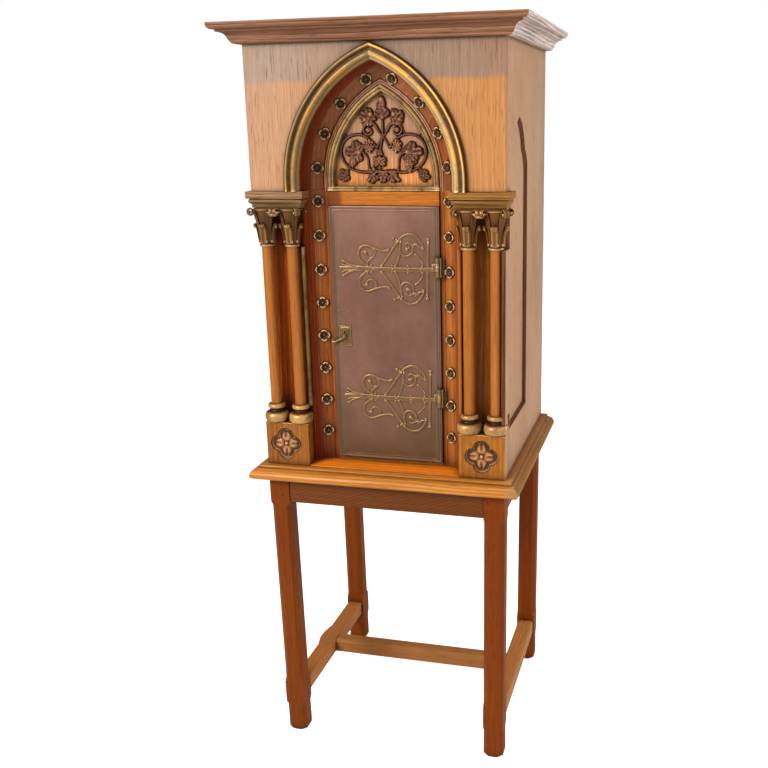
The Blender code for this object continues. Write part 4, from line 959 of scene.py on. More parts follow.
# (projection, z)
CORNICE = smooth_line([
    (CORNICE_GAP, 1.6776), (.0095, 1.6776), (.0142, 1.6787), (.0176, 1.6808),
    (.0195, 1.6834), (.0198, 1.6851), (.0212, 1.6855), (.0214, 1.6871), (.0222, 1.6878),
    (.0229, 1.6902), (.0245, 1.6934), (.0270, 1.6966), (.0304, 1.6992), (.0349, 1.7008),
    (.0399, 1.7014), (.0413, 1.7020), (.0415, 1.7058), (.0424, 1.7064), (.0500, 1.7067),
    (.0524, 1.7087), (.0543, 1.7115), (.0554, 1.7147), (.0558, 1.7177), (.0551, 1.7198),
    (.0545, 1.7200), (CORNICE_GAP, 1.7200)],
    4, sharp=(0, 1, 5, 6, 7, 15, 17, 18, 24, 25))


def cornice_run(place, finish, start, end):
    """Straight run between two ends, each a function of the projection giving (x, y)."""
    rings = [[(*((1 - t) * np.array(start(out)) + t * np.array(end(out))), z)
              for out, z in CORNICE] for t in np.linspace(0, 1, 14)]
    stand_in("cornice_" + place, tube(rings), finish, sharp=34)


def build_cornice():
    cornice_run("front", "cornice_oak", lambda out: (-HALF_WIDTH - out + MITRE_GAP, -out),
                lambda out: (HALF_WIDTH + out - MITRE_GAP, -out))
    for side, place in SIDES:
        cornice_run(place, "cornice_oak_side",
                    lambda out: (side * (HALF_WIDTH + out), -out + MITRE_GAP),
                    lambda out: (side * (HALF_WIDTH + out), DEPTH))


# ------------------------------------------------------------------ arch mouldings
# Sections of the arch rings (half-width, depth)
HOOD = np.vstack([smooth_line([
    (.2060, -.0003), (.2059, -.0040), (.2053, -.0074), (.2041, -.0096), (.2022, -.0106),
    (.2002, -.0106), (.1987, -.0098), (.1977, -.0084), (.1967, -.0060), (.1951, -.0042),
    (.1931, -.0034), (.1913, -.0038), (.1901, -.0050), (.1892, -.0072), (.1876, -.0094),
    (.1850, -.0108), (.1824, -.0108), (.1800, -.0092), (.1781, -.0062), (.1771, -.0038),
    (.1765, -.0028), (.1757, -.0028), (.1744, -.0018), (.1731, .0000), (.1723, .0026),
    (.1722, .0060)], 4, sharp=(0, 7, 13, 19, 25)),
    [(.1722, .0300), (.1857, .0300), (.1857, -.0003)]])
# (half-width, mask) across the hood; the low values along the outer edge and in the groove give
# painted shade, the high ones on the bead a painted highlight
HOOD_MASK = (
    (.1722, .34), (.1730, .48), (.1748, .50), (.1757, .16), (.1766, .40), (.1785, .66),
    (.1880, .66), (.1894, .36), (.1912, .10), (.1950, .08), (.1968, .22), (.1982, .60),
    (.1996, .92), (.2010, .80), (.2022, .22), (.2032, .0))
BAND = np.vstack([smooth_line([
    (.1765, .0333), (.1746, .0384), (.1720, .0430), (.1690, .0470), (.1662, .0498),
    (.1648, .0500), (.1640, .0512), (.1600, .0546), (.1545, .0575), (.1490, .0602),
    (.1430, .0630), (.1412, .0628), (.1404, .0636), (.1400, .0650), (.1390, .0652),
    (.1390, .0760)], 4, sharp=(0, 5, 6, 10, 15)),
    [(.1800, .0760), (.1800, .0333)]])
FRAME_ARCH = smooth_line([
    (.1387, .0760), (.1387, .0660), (.1380, .0650), (.1366, .0645), (.1352, .0650),
    (.1344, .0662), (.1336, .0652), (.1318, .0645), (.1302, .0648), (.1296, .0656),
    (.1295, .0760)], 4, sharp=(0, 1, 5, 9, 10))
BEAD = np.vstack([smooth_line([
    (.1292, .0700), (.1290, .0650), (.1276, .0618), (.1252, .0605), (.1228, .0612),
    (.1214, .0630), (.1206, .0640), (.1196, .0632), (.1180, .0630), (.1166, .0642),
    (.1156, .0672), (.1154, .0760)], 4, sharp=(0, 6, 11)),
    [(.1292, .0760)]])
# Level bead under the tympanum (depth, z)
BEAD_SILL = np.vstack([smooth_line([
    (.0760, 1.3752), (.0672, 1.3752), (.0640, 1.3742), (.0622, 1.3728), (.0618, 1.3715),
    (.0628, 1.3702), (.0618, 1.3690), (.0606, 1.3672), (.0607, 1.3656), (.0620, 1.3645),
    (.0660, 1.3641)], 4, sharp=(0, 1, 5, 10)),
    [(.0760, 1.3641)]])
RING_FOOT = 1.3678        # foot of the hood and the rosette band
HOOD_INNER = .1735        # half-width inside which the hood has its cove finish
COVE_INNER = .1648        # half-width outside which the boards and the band are coved


def build_hood():
    vertices, faces = sweep_arch(HOOD, RING_FOOT)
    across = np.array([arch_radius(abs(x), z) for x, _, z in vertices])
    mask = np.interp(across, *zip(*HOOD_MASK))
    mask = np.where((across < HOOD_INNER) & (vertices[:, 1] > .0034), 0.0, mask)
    ob = stand_in("arch_hood", (vertices, faces), "gilt_hood", mask=mask, sharp=40)
    # The inner cove takes a dark copy on the left and a lighter one on the right, and the right
    # half a lighter copy of the gilding: painted light and shade.
    finish_by_side(ob, "cove_arch_dark", "cove_oak", lambda face, radius:
                   radius < HOOD_INNER and face.center.y - FRONT > .0040)
    add_finishes(ob, "gilt_hood_right")
    for face in ob.data.polygons:
        if face.material_index == 0 and face.center.x > 0:
            face.material_index = 3


def build_arch_rings():
    ob = stand_in("arch_rosette_band", sweep_arch(BAND, RING_FOOT), "band_oak", sharp=38)
    # The band's cove takes a dark copy on the left and a lighter one on the right: painted light
    # and shade.
    finish_by_side(ob, "cove_arch_dark", "cove_oak", lambda face, radius: radius > COVE_INNER)
    stand_in("frame_arch", sweep_arch(FRAME_ARCH, 1.3640), "frame_arch_oak", sharp=40)
    soup = Soup()
    soup.add(sweep_arch(BEAD, 1.3700))
    soup.add(tube([[(x, y, z) for y, z in BEAD_SILL] for x in np.linspace(-.1291, .1291, 20)]))
    stand_in("tympanum_bead", soup.part(), "gilt_bead", sharp=40)


# ------------------------------------------------------------------ door surround
SILL_PLAN = [(-.1804, .0006), (.1804, .0006), (.1804, .0638), (-.1804, .0638)]
# Plan of the right rosette board (x, depth): the cove, then the sloping face
BOARD_PLAN = [
    (.1765, .0333), (.1752, .0372), (.1732, .0410), (.1706, .0446), (.1678, .0476),
    (.1656, .0496), (.1646, .0500), (.1640, .0512), (.1638, .0527), (.1410, .0631),
    (.1404, .0640), (.1390, .0644), (.1390, .0760), (.1867, .0760), (.1867, .0333)]


def build_surround():
    dress("tympanum_panel", "tympanum_oak", bevel=.0005, segments=2)
    dress("transom_rail", "rail_oak", bevel=.0010)
    for side in ("left", "right"):
        dress("frame_stile_" + side, "stile_oak", bevel=.0008, clamp=False)
    prism("sill_board_v", "case_floor", SILL_PLAN, .7276, .7296, "sill_oak", bevel=.0007)
    for side, place in SIDES:
        node = "rosette_board_" + place
        # The jamb boards and their coves take a shaded copy on the left and a lit one on the
        # right: painted light and shade.
        ob = prism(node + "_v", node, BOARD_PLAN, BOARD_FOOT, 1.3672,
                   "jamb_oak" if side < 0 else "jamb_oak_right", bevel=.0004, side=side)
        finish_by_side(ob, "cove_dark", "cove_oak", lambda face, radius: radius > COVE_INNER)
    # The corner boards take the left and right copies of their finish: painted light and shade.
    dress("corner_board_left", "corner_oak", bevel=.0008)
    dress("corner_board_right", "corner_oak_right", bevel=.0008)


# ------------------------------------------------------------------ cupped rosettes
ROSETTE_RADIUS, ROSETTE_HEIGHT = .0134, .0056
ROSETTE_X = .1528                          # half-width of the line of rosettes
ROSETTE_OUT, ROSETTE_TILT = -.912, .41     # facing: to the front, and in toward the opening
ROSETTE_TOP, ROSETTE_PITCH = 1.3424, .0772
ARCH_ROSETTE_ANGLES = (6.9, 24.2, 41.2, 59.0)     # degrees up from the springing line
# Rings outward from the middle bead (radius, height, mask), as shares of full size; the low mask
# in the hollow gives painted shade, the high mask on the rims a painted highlight
ROSETTE_RINGS = (
    (.001, .52, .60), (.11, .50, .54), (.20, .38, .36), (.25, .14, .14), (.30, .05, .05),
    (.40, .08, .05), (.50, .20, .12), (.61, .44, .26), (.71, .72, .52), (.79, .91, .80),
    (.86, 1.0, .94), (.92, .96, .95), (.97, .80, .85), (1.0, .50, .5), (1.0, .12, .15),
    (.97, -.15, .0))
BEAD_RINGS = 4            # the first rings are round, the rest follow the petals


def rosette(centre, normal, up, seed):
    """Four cupped petals round a hollow with a bead in the middle, and the mask."""
    rng = np.random.default_rng(seed)
    normal = Vector(normal).normalized()
    up = (Vector(up) - normal * Vector(up).dot(normal)).normalized()
    right = up.cross(normal)
    phi = np.linspace(0, 2 * math.pi, 72, endpoint=False)
    petal = np.abs(np.cos(2 * phi))                 # 1 on a petal's middle, 0 in the gap
    lobes = .80 + .20 * petal ** .55 + .025 * np.cos(8 * phi)
    uneven = 1 + .03 * rng.standard_normal(4)
    lobes = lobes * uneven[np.round(phi / (math.pi / 2)).astype(int) % 4]
    rings, mask = [], []
    for i, (radius, height, level) in enumerate(ROSETTE_RINGS):
        r = radius * ROSETTE_RADIUS * (lobes if i >= BEAD_RINGS else np.ones(len(phi)))
        gap = 1 - (1 - petal ** .45) * np.clip((radius - .35) / .4, 0, 1) * .62
        h = height * ROSETTE_HEIGHT * gap
        rings.append([(Vector(centre) + right * float(r[k] * math.cos(phi[k]))
                       + up * float(r[k] * math.sin(phi[k])) + normal * float(h[k]))[:]
                      for k in range(len(phi))])
        mask += list(level * gap ** 1.5)
    return tube(rings), mask


def put_rosettes(place, items, node):
    soup = Soup()
    for item in items:
        soup.add(*rosette(*item))
    put("rosettes_" + place, soup.part(), "gilt_rosette", node, mask=soup.mask(), sharp=50)


def build_rosettes():
    # depth of the board's sloping face at the rosettes, between its two edges
    share = (.1655 - ROSETTE_X) / (.1655 - .1390)
    board_y = .0520 + share * (.0640 - .0520)
    for side, place in SIDES:
        put_rosettes(place, [((side * ROSETTE_X, board_y - .0002,
                               ROSETTE_TOP - ROSETTE_PITCH * i),
                              (-side * ROSETTE_TILT, ROSETTE_OUT, 0), (0, 0, 1),
                              40 + i + (side > 0) * 20) for i in range(8)],
                     "rosette_board_" + place)
    items = []
    r = ARCH_OFFSET + ROSETTE_X
    for side, _ in SIDES:
        for i, degrees in enumerate(ARCH_ROSETTE_ANGLES):
            a = math.radians(degrees)
            centre = (side * (r * math.cos(a) - ARCH_OFFSET), .0580,
                      ARCH_SPRING + r * math.sin(a))
            inward = Vector((-side * math.cos(a), 0, -math.sin(a)))
            normal = Vector((0, ROSETTE_OUT, 0)) + inward * ROSETTE_TILT
            tangent = Vector((-side * math.sin(a), 0, math.cos(a)))
            items.append((centre, normal, tangent, 90 + i + (side > 0) * 10))
    put_rosettes("arch", items, "arch_rosette_band")


# ------------------------------------------------------------------ columns
AXIS_RADIUS = .0003       # where a turned end closes
ROLL_RADIUS, ROLL_X, ROLL_Y, ROLL_FOOT, ROLL_HEAD = .0051, .1816, .0262, .8716, 1.2426
# Column base (radius, z)
BASE = smooth_line([
    (.0190, .8314), (.0222, .8317), (.0252, .8330), (.0273, .8356), (.0284, .8394),
    (.0287, .8436), (.0281, .8480), (.0264, .8520), (.0238, .8547), (.0208, .8560),
    (.0196, .8563), (.0180, .8575), (.0169, .8594), (.0165, .8614), (.0170, .8630),
    (.0182, .8640), (.0196, .8654), (.0206, .8676), (.0207, .8698), (.0200, .8722),
    (.0186, .8738), (.0160, .8750), (.0120, .8753)], 4, sharp=(0, 9, 14, 22))
# (z, mask) up the base
BASE_MASK = ((.8314, .30), (.8340, .70), (.8400, .78), (.8520, .74), (.8550, .45),
             (.8562, .06), (.8575, .0), (.8640, .0), (.8650, .30), (.8664, .84),
             (.8735, .84), (.8753, .4))


def build_shafts():
    """Columns with a slight swelling, and the slim roll beside each inner one."""
    for side, place in SIDES:
        for cx, which in zip(COLUMN_X, ("inner", "outer")):
            length = SHAFT_HEAD - SHAFT_FOOT
            profile = [(AXIS_RADIUS, SHAFT_FOOT)]
            for z in np.linspace(SHAFT_FOOT, SHAFT_HEAD, 26):
                swell = 1 + .012 * math.sin((z - SHAFT_FOOT) / length * math.pi)
                profile.append((SHAFT_RADIUS * swell, z))
            profile.append((AXIS_RADIUS, SHAFT_HEAD))
            stand_in(f"shaft_{place}_{which}",
                     lathe(profile, side * cx, COLUMN_Y, 48, wobble=.004), "shaft_oak",
                     sharp=40)
        profile = [(AXIS_RADIUS, ROLL_FOOT)]
        profile += [(ROLL_RADIUS * (1 + .02 * math.sin(z * 40 + side)), z)
                    for z in np.linspace(ROLL_FOOT, ROLL_HEAD, 24)]
        profile.append((AXIS_RADIUS, ROLL_HEAD))
        stand_in("jamb_roll_" + place, lathe(profile, side * ROLL_X, ROLL_Y, 24),
                 "gilt_roll" if side < 0 else "shaft_oak", sharp=40)


def put_mirrored(node, soup, finish, side, sharp):
    """Enter a soup built for the right side on either side."""
    vertices, faces = soup.part()
    stand_in(node, (vertices * np.array([side, 1, 1]), faces), finish, mask=soup.mask(),
             sharp=sharp)


def build_bases(side, place):
    soup = Soup()
    mask = np.repeat(np.interp(BASE[:, 1], *zip(*BASE_MASK)), 72)
    for cx in COLUMN_X:
        soup.add(lathe(BASE, cx, COLUMN_Y, 72, wobble=.004), mask)
    put_mirrored("base_twin_" + place, soup, "gilt_base", side, sharp=50)


# ------------------------------------------------------------------ capitals
# Bell of the capital (radius, z)
BELL = smooth_line([
    (.0003, 1.2438), (.0134, 1.2438), (.0150, 1.2442), (.0163, 1.2454), (.0168, 1.2472),
    (.0163, 1.2490), (.0149, 1.2504), (.0136, 1.2514), (.0140, 1.2600), (.0146, 1.2700),
    (.0156, 1.2810), (.0172, 1.2920), (.0190, 1.3020), (.0210, 1.3110), (.0228, 1.3180),
    (.0242, 1.3230), (.0258, 1.3248), (.0270, 1.3266), (.0266, 1.3284), (.0250, 1.3294),
    (.0225, 1.3298), (.0215, 1.3312), (.0003, 1.3312)], 4, sharp=(0, 1, 7, 15, 20, 21, 22))
# (z, mask) up the bell; the low values on the bell between the leaves give painted shade, the high
# ones on the neck ring and the top lip a painted highlight
BELL_MASK = ((1.2438, .94), (1.2470, 1.0), (1.2500, .92), (1.2520, .16), (1.31, .20),
             (1.3225, .30), (1.3262, .88), (1.3284, .92), (1.3300, .5), (1.3312, .2))
LEAF_THICKNESS = .0026


def twin_ribs(u):
    """Two raised ribs; u is the distance from the leaf's middle, 0 to 1."""
    return max(0, math.cos(math.pi * (u - .48) / .96)) * (1 - u ** 6)


def raised_edges(u):
    return (u ** 1.6 - .25) * (1 - u ** 9)


# Leaves: path (radius from the column's axis, z), half-widths along it, face relief, points
# round it, and the mask: at its low, its range, what the tip adds and where the tip begins
LOWER_LEAF = dict(
    path=smooth_line([
        (.0142, 1.2520), (.0150, 1.2600), (.0160, 1.2700), (.0174, 1.2790), (.0194, 1.2862),
        (.0218, 1.2918), (.0244, 1.2946), (.0268, 1.2934), (.0278, 1.2898), (.0266, 1.2866),
        (.0244, 1.2862)], 5),
    widths=[.0058, .0086, .0098, .0100, .0094, .0084, .0076, .0068, .0058, .0044, .0028],
    rib=.0026, relief=twin_ribs, segments=22, low=.22, span=.66, tip=.01, tip_start=.46)
UPPER_LEAF = dict(
    path=smooth_line([
        (.0144, 1.2540), (.0150, 1.2650), (.0160, 1.2780), (.0178, 1.2900), (.0200, 1.3010),
        (.0226, 1.3110), (.0256, 1.3200), (.0288, 1.3268), (.0330, 1.3306), (.0374, 1.3298),
        (.0404, 1.3264), (.0412, 1.3220), (.0396, 1.3178), (.0360, 1.3156), (.0322, 1.3164),
        (.0304, 1.3196), (.0312, 1.3230), (.0338, 1.3242), (.0356, 1.3224)], 5),
    widths=[.0036, .0052, .0060, .0064, .0068, .0074, .0076, .0074, .0070, .0068, .0066,
            .0064, .0062, .0058, .0052, .0044, .0036, .0026, .0016],
    rib=.0014, relief=raised_edges, segments=24, low=.26, span=.50, tip=.20, tip_start=.36)


def spread(values, count):
    """Values evenly spread and interpolated over count stations."""
    values = np.atleast_1d(values)
    return np.interp(np.linspace(0, 1, count), np.linspace(0, 1, len(values)), values)


def unit_tangent(path, i):
    tangent = path[min(i + 1, len(path) - 1)] - path[max(i - 1, 0)]
    return tangent / (np.linalg.norm(tangent) + 1e-12)


def leaf_blade(cx, angle, path, widths, rib, relief, segments, low, span, tip, tip_start):
    """Carved leaf on an upright plane through a column's axis, with its mask."""
    half_thick = LEAF_THICKNESS * .5
    cos_a, sin_a = math.cos(angle), math.sin(angle)
    rings, mask = [], []
    for i, w in enumerate(spread(widths, len(path))):
        along = i / len(path)
        tangent = unit_tangent(path, i)
        ring = []
        for j in range(segments):
            turn = 2 * math.pi * j / segments
            u = math.cos(turn)
            h = half_thick * (1 - abs(u) ** 3) ** .5
            if math.sin(turn) >= 0:
                h += rib * relief(abs(u))
                level = max(0, min(1, h / (rib + half_thick))) ** 1.4
                mask.append(low + span * level + tip * float(along > tip_start))
            else:
                h = -h
                mask.append(.22 if along < tip_start else .80)
            r, z = path[i][0] + tangent[1] * h, path[i][1] - tangent[0] * h
            ring.append((cx + r * cos_a - u * w * sin_a,
                         COLUMN_Y + r * sin_a + u * w * cos_a, z))
        rings.append(ring)
    return tube(rings), mask


def add_bell(soup, cx):
    """One capital: bell, four leaves with beads, and four corner leaves with scrolls."""
    soup.add(lathe(BELL, cx, COLUMN_Y, 64),
             np.repeat(np.interp(BELL[:, 1], *zip(*BELL_MASK)), 64))
    for quarter in range(4):
        a = math.radians(-90 + 90 * quarter)
        soup.add(*leaf_blade(cx, a, **LOWER_LEAF))
        r = .0228
        centre = (cx + r * math.cos(a), COLUMN_Y + r * math.sin(a), 1.2902)
        soup.add(ball(centre, .0061, (1, 1, 1.02), 12, 20), .84)
        # a pair of small beads at the foot of the leaf
        for d in (-1, 1):
            foot = a + d * math.radians(24)
            centre = (cx + .0165 * math.cos(foot), COLUMN_Y + .0165 * math.sin(foot), 1.2562)
            soup.add(ball(centre, .0026, (1, 1, 1.5), 8, 12), .75)
    for quarter in range(4):
        a = math.radians(-45 + 90 * quarter)
        soup.add(*leaf_blade(cx, a, **UPPER_LEAF))
        # the eye of the scroll, lying across the diagonal
        r = .0346
        x, y, z = cx + r * math.cos(a), COLUMN_Y + r * math.sin(a), 1.3216
        for d in (-.0046, .0046):
            soup.add(ball((x - math.sin(a) * d, y + math.cos(a) * d, z), .0037,
                          (1.05, 1.05, 1.0), 8, 14), .86)
        vertices, faces = ball((0, 0, 0), 1.0, (.0030, .0058, .0030), 8, 14)
        turn = np.array([[math.cos(a), -math.sin(a), 0], [math.sin(a), math.cos(a), 0],
                         [0, 0, 1]])
        soup.add((vertices @ turn.T + np.array([x, y, z]), faces), .5)


def circle(count):
    """Cosine and sine of evenly spaced angles."""
    angles = [2 * math.pi * j / count for j in range(count)]
    return [(math.cos(a), math.sin(a)) for a in angles]


def add_link(soup, y, facing):
    """Cup leaf, beads and tongues between the two bells; facing is -1 at the front."""
    mid_x = sum(COLUMN_X) / 2
    # half-length, rise at the ends, z, thickness, mask
    for half, rise, z0, thick, level in ((.0175, .0078, 1.3166, .0030, .80),
                                         (.0130, .0052, 1.3208, .0022, .40)):
        rings = []
        for u in np.linspace(-1, 1, 29):
            z = z0 + rise * abs(u) ** 1.8 + .0008 * math.cos(u * 9)
            high = .0030 * (1 - abs(u) ** 2.6) + .0005
            deep = thick * (1.25 - .5 * abs(u)) + .0003
            out = .0030 * (1 - u * u)
            rings.append([(mid_x + u * half, y + facing * (out + deep * c), z + high * s)
                          for c, s in circle(16)])
        soup.add(tube(rings), level)
    for d in (-1, 1):
        soup.add(ball((mid_x + d * .0046, y + facing * .0038, 1.3258), .0044, (1, 1, 1.02),
                      12, 20), .90)
    for d in (-1, 0, 1):
        rings = []
        for t in np.linspace(0, 1, 12):
            w = .0026 * (1 - t) ** .6 + .0003
            rings.append([(mid_x + d * .0052 * (1 + .3 * t) + w * c,
                           y + facing * (.0016 - .0040 * t) + w * .8 * s,
                           1.3162 - .0040 * t * (1 - .3 * abs(d))) for c, s in circle(12)])
        soup.add(tube(rings), .6)


def build_capitals(side, place):
    soup = Soup()
    for cx in COLUMN_X:
        add_bell(soup, cx)
    for facing in (-1, 1):
        add_link(soup, COLUMN_Y + facing * .0262, facing)
    # thin block between the bells and the impost (projection, z)
    block = smooth_line([(-.006, 1.3286), (-.0034, 1.3290), (-.0026, 1.3300),
                         (-.0034, 1.3312)], 4, sharp=(0, 3))
    soup.add(rim_loft(block, .1800, .2870, -.0045, .0400, corner=.002), .25)
    # The left and right capitals take copies of the gilding that differ in colour balance: painted
    # light and shade.
    put_mirrored("capital_twin_" + place, soup,
                 "gilt_capital" if side < 0 else "gilt_capital_right", side, sharp=48)


# Impost (inset, z)
IMPOST = smooth_line([
    (.0108, 1.3315), (.0104, 1.3320), (.0102, 1.3378), (.0099, 1.3390), (.0088, 1.3395),
    (.0085, 1.3403), (.0074, 1.3408), (.0060, 1.3418), (.0050, 1.3436), (.0046, 1.3458),
    (.0048, 1.3480), (.0056, 1.3498), (.0066, 1.3506), (.0068, 1.3515), (.0050, 1.3521),
    (.0012, 1.3524), (0, 1.3534), (0, 1.3660), (.0004, 1.3670), (.0012, 1.3675)],
    4, sharp=(0, 3, 5, 12, 13, 15, 19))
IMPOST_INNER, IMPOST_OUTER, IMPOST_FRONT = .1648, .3004, -.0061


def build_imposts():
    """Moulded blocks over each pair of columns, stepped at the back round the case."""
    for side, place in SIDES:
        rings = []
        for inset, z in IMPOST:
            inner, outer = IMPOST_INNER + inset, IMPOST_OUTER - inset
            plan = rounded_front(inner, outer, IMPOST_FRONT + inset, .0012)
            plan += [(outer, .0536), (.2885, .0536), (.2885, .0330), (inner, .0330)]
            rings.append([(side * x, y, z) for x, y in plan])
        # The left and right imposts take copies of their finish that differ in colour balance:
        # painted light and shade.
        stand_in("impost_" + place, tube(rings),
                 "impost_oak" if side < 0 else "impost_oak_right")


# ------------------------------------------------------------------ pedestals
def smooth_step(x, start, end):
    t = np.clip((x - start) / (end - start), 0, 1)
    return t * t * (3 - 2 * t)


def height_block(xs, zs, heights, y_face, y_back):
    """Closed block whose front is a height field standing toward -Y."""
    n, m = len(zs), len(xs)
    X, Z = np.meshgrid(xs, zs)
    front = np.stack([X, y_face - heights, Z], -1).reshape(-1, 3)
    faces = [(a, a + 1, a + m + 1, a + m)
             for i in range(n - 1) for a in range(i * m, i * m + m - 1)]
    rim = (list(range(m)) + [i * m + m - 1 for i in range(1, n)]
           + [(n - 1) * m + j for j in range(m - 2, -1, -1)]
           + [i * m for i in range(n - 2, 0, -1)])
    back = front[rim].copy()
    back[:, 1] = y_back
    first, count = len(front), len(rim)
    for i in range(count):
        j = (i + 1) % count
        faces.append((rim[i], first + i, first + j, rim[j]))
    faces.append(tuple(first + i for i in range(count)))
    return np.concatenate([front, back]), faces


def petal_field(across, up, angle, start, end, width, height):
    """Height of a two-lobed petal with a groove down its middle."""
    c, s = math.cos(angle), math.sin(angle)
    v = -across * s + up * c
    t = (across * c + up * s - start) / (end - start)
    arc = np.sin(np.pi * np.clip(t, 0, 1) ** .62)
    q = np.abs(v) / (width * np.sqrt(np.clip(arc, 0, 1)) + 1e-6)
    notch = 1 - .16 * np.exp(-(v / (width * .22)) ** 2)
    inside = (t > 0) & (t < notch) & (q < 1)
    length = np.sin(np.pi * np.clip(t / notch, 0, 1))
    dome = np.sqrt(np.clip(1 - q ** 2, 0, 1)) * np.sqrt(np.clip(length, 0, 1)) ** .8
    groove = 1 - .42 * np.exp(-(v / (width * .20)) ** 2) * smooth_step(t, .1, .5)
    flank = 1 - np.exp(-((np.abs(v) - width * .5) / (width * .35)) ** 2)
    cup = 1 - .28 * np.exp(-((t - .55) / .22) ** 2) * flank
    return np.where(inside, height * dome * groove * cup, 0)


PEDESTAL_TOP, PEDESTAL_INNER = .8311, .1808
QUATREFOIL_Z, QUATREFOIL_DEPTH = .7797, .0072
LOBE_OFFSET, LOBE_RADIUS, HUB_RADIUS = .0184, .0200, .0140
FLOWER_EYE = .0046        # radius of the bead in the middle
PEDESTAL_EASE = .0013     # rounding of the outer edges


def pedestal_front(X, Z, side):
    """Heights and mask of a flower in a sunk quatrefoil, and which points are carved."""
    across, up = X - (.2362 - .0024 * side), Z - QUATREFOIL_Z
    radius = np.hypot(across, up)
    outline = radius - HUB_RADIUS                  # distance outside the quatrefoil
    quarters = [k * math.pi / 2 for k in range(4)]
    for a in quarters:
        lobe = np.hypot(across - LOBE_OFFSET * math.cos(a), up - LOBE_OFFSET * math.sin(a))
        outline = np.minimum(outline, lobe - LOBE_RADIUS)
    H = -QUATREFOIL_DEPTH * (1 - smooth_step(outline, -.0046, .0006))
    H += .0012 * np.exp(-((outline + .0066) / .0012) ** 2) * (outline < 0)   # inner fillet
    H += .0006 * np.exp(-((outline - .0012) / .0010) ** 2)                   # outer lip

    flower = np.zeros_like(X)
    for a in quarters:
        flower = np.maximum(flower, petal_field(across, up, a, .0046, .0312, .0136, .0074))
    for a in quarters:
        small = petal_field(across, up, a + math.pi / 4, .0040, .0175, .0040, .0036)
        flower = np.maximum(flower, small)
    eye = .0040 + .0036 * np.sqrt(np.clip(1 - (radius / FLOWER_EYE) ** 2, 0, 1))
    flower = np.maximum(flower, np.where(radius < FLOWER_EYE, eye, 0))
    flower = flower * (1 + .04 * np.sin(X * 900 + side) * np.sin(Z * 700))
    H = np.where((flower > 0) & (outline < -.0005),
                 np.maximum(H, -QUATREFOIL_DEPTH + flower), H)

    # The rim's slope gets a high mask, a painted highlight; the rest of the ground and the outer
    # edge low masks, painted shade.
    mask = np.where(outline < .0004, np.clip(.12 + flower / .0072 * .72, 0, 1), .5)
    ground = flower <= 0
    mask = np.where(ground & (outline > -.0050), .22, mask)
    mask = np.where(ground & (outline > -.0036) & (outline < -.0012), .74, mask)
    mask = np.where(ground & (outline >= -.0010), .10, mask)

    edge = np.minimum(np.minimum(X - X[0, 0], X[0, -1] - X), np.minimum(Z - Z[0, 0], Z[-1, 0] - Z))
    near = 1 - np.clip(edge / PEDESTAL_EASE, 0, 1)
    H = H - PEDESTAL_EASE * (1 - np.sqrt(np.clip(1 - near ** 2, 0, 1)))
    return H, mask, outline < .0014


def build_pedestal(side, place):
    xs = np.linspace(PEDESTAL_INNER, HALF_WIDTH, 158)
    zs = np.linspace(BOARD_FOOT, PEDESTAL_TOP, 152)
    X, Z = np.meshgrid(xs, zs)
    H, mask, carved_points = pedestal_front(X, Z, side)
    vertices, faces = height_block(xs, zs, H, 0.0, .0535)
    rest = len(vertices) - X.size
    mask = np.concatenate([mask.reshape(-1), np.full(rest, .5)])
    is_carved = np.concatenate([carved_points.reshape(-1), np.zeros(rest, bool)])
    # Left and right copies of the pedestal finish, differing only in colour balance: painted light
    # and shade.
    ob = stand_in("pedestal_" + place, (vertices * np.array([side, 1, 1]), faces),
                  "pedestal_oak" if side < 0 else "pedestal_oak_right", mask=mask, sharp=0)
    add_finishes(ob, "flower_oak", "side_oak", "pedestal_top_highlight_oak")
    # The outer side face takes the pale side finish, a painted sheen, and the front top faces the
    # light finish, a painted highlight.
    for face in ob.data.polygons:
        if face.normal.x * side > .8 and face.center.x * side > .285:
            face.material_index = 2
        elif len(face.vertices) == 4 and all(is_carved[v] for v in face.vertices):
            face.material_index = 1
        elif face.center.z > .8297 and face.center.y < FRONT + .004:
            face.material_index = 3


def build_cheek():
    """Small block on the right side, just above the pedestal."""
    plan = [(.2790, .0052), (.28788, .0052), (.28788, .0326), (.2790, .0326)]
    ob = prism("side_cheek_right", "side_panel_right", plan, .8314, .8724, "cheek_shade_oak",
               bevel=.0002)
    # The sides take the pale side finish, a painted sheen; the other faces keep the dark finish,
    # painted shade.
    add_finishes(ob, "side_oak")
    for face in ob.data.polygons:
        face.material_index = 1 if abs(face.normal.x) > .7 else 0


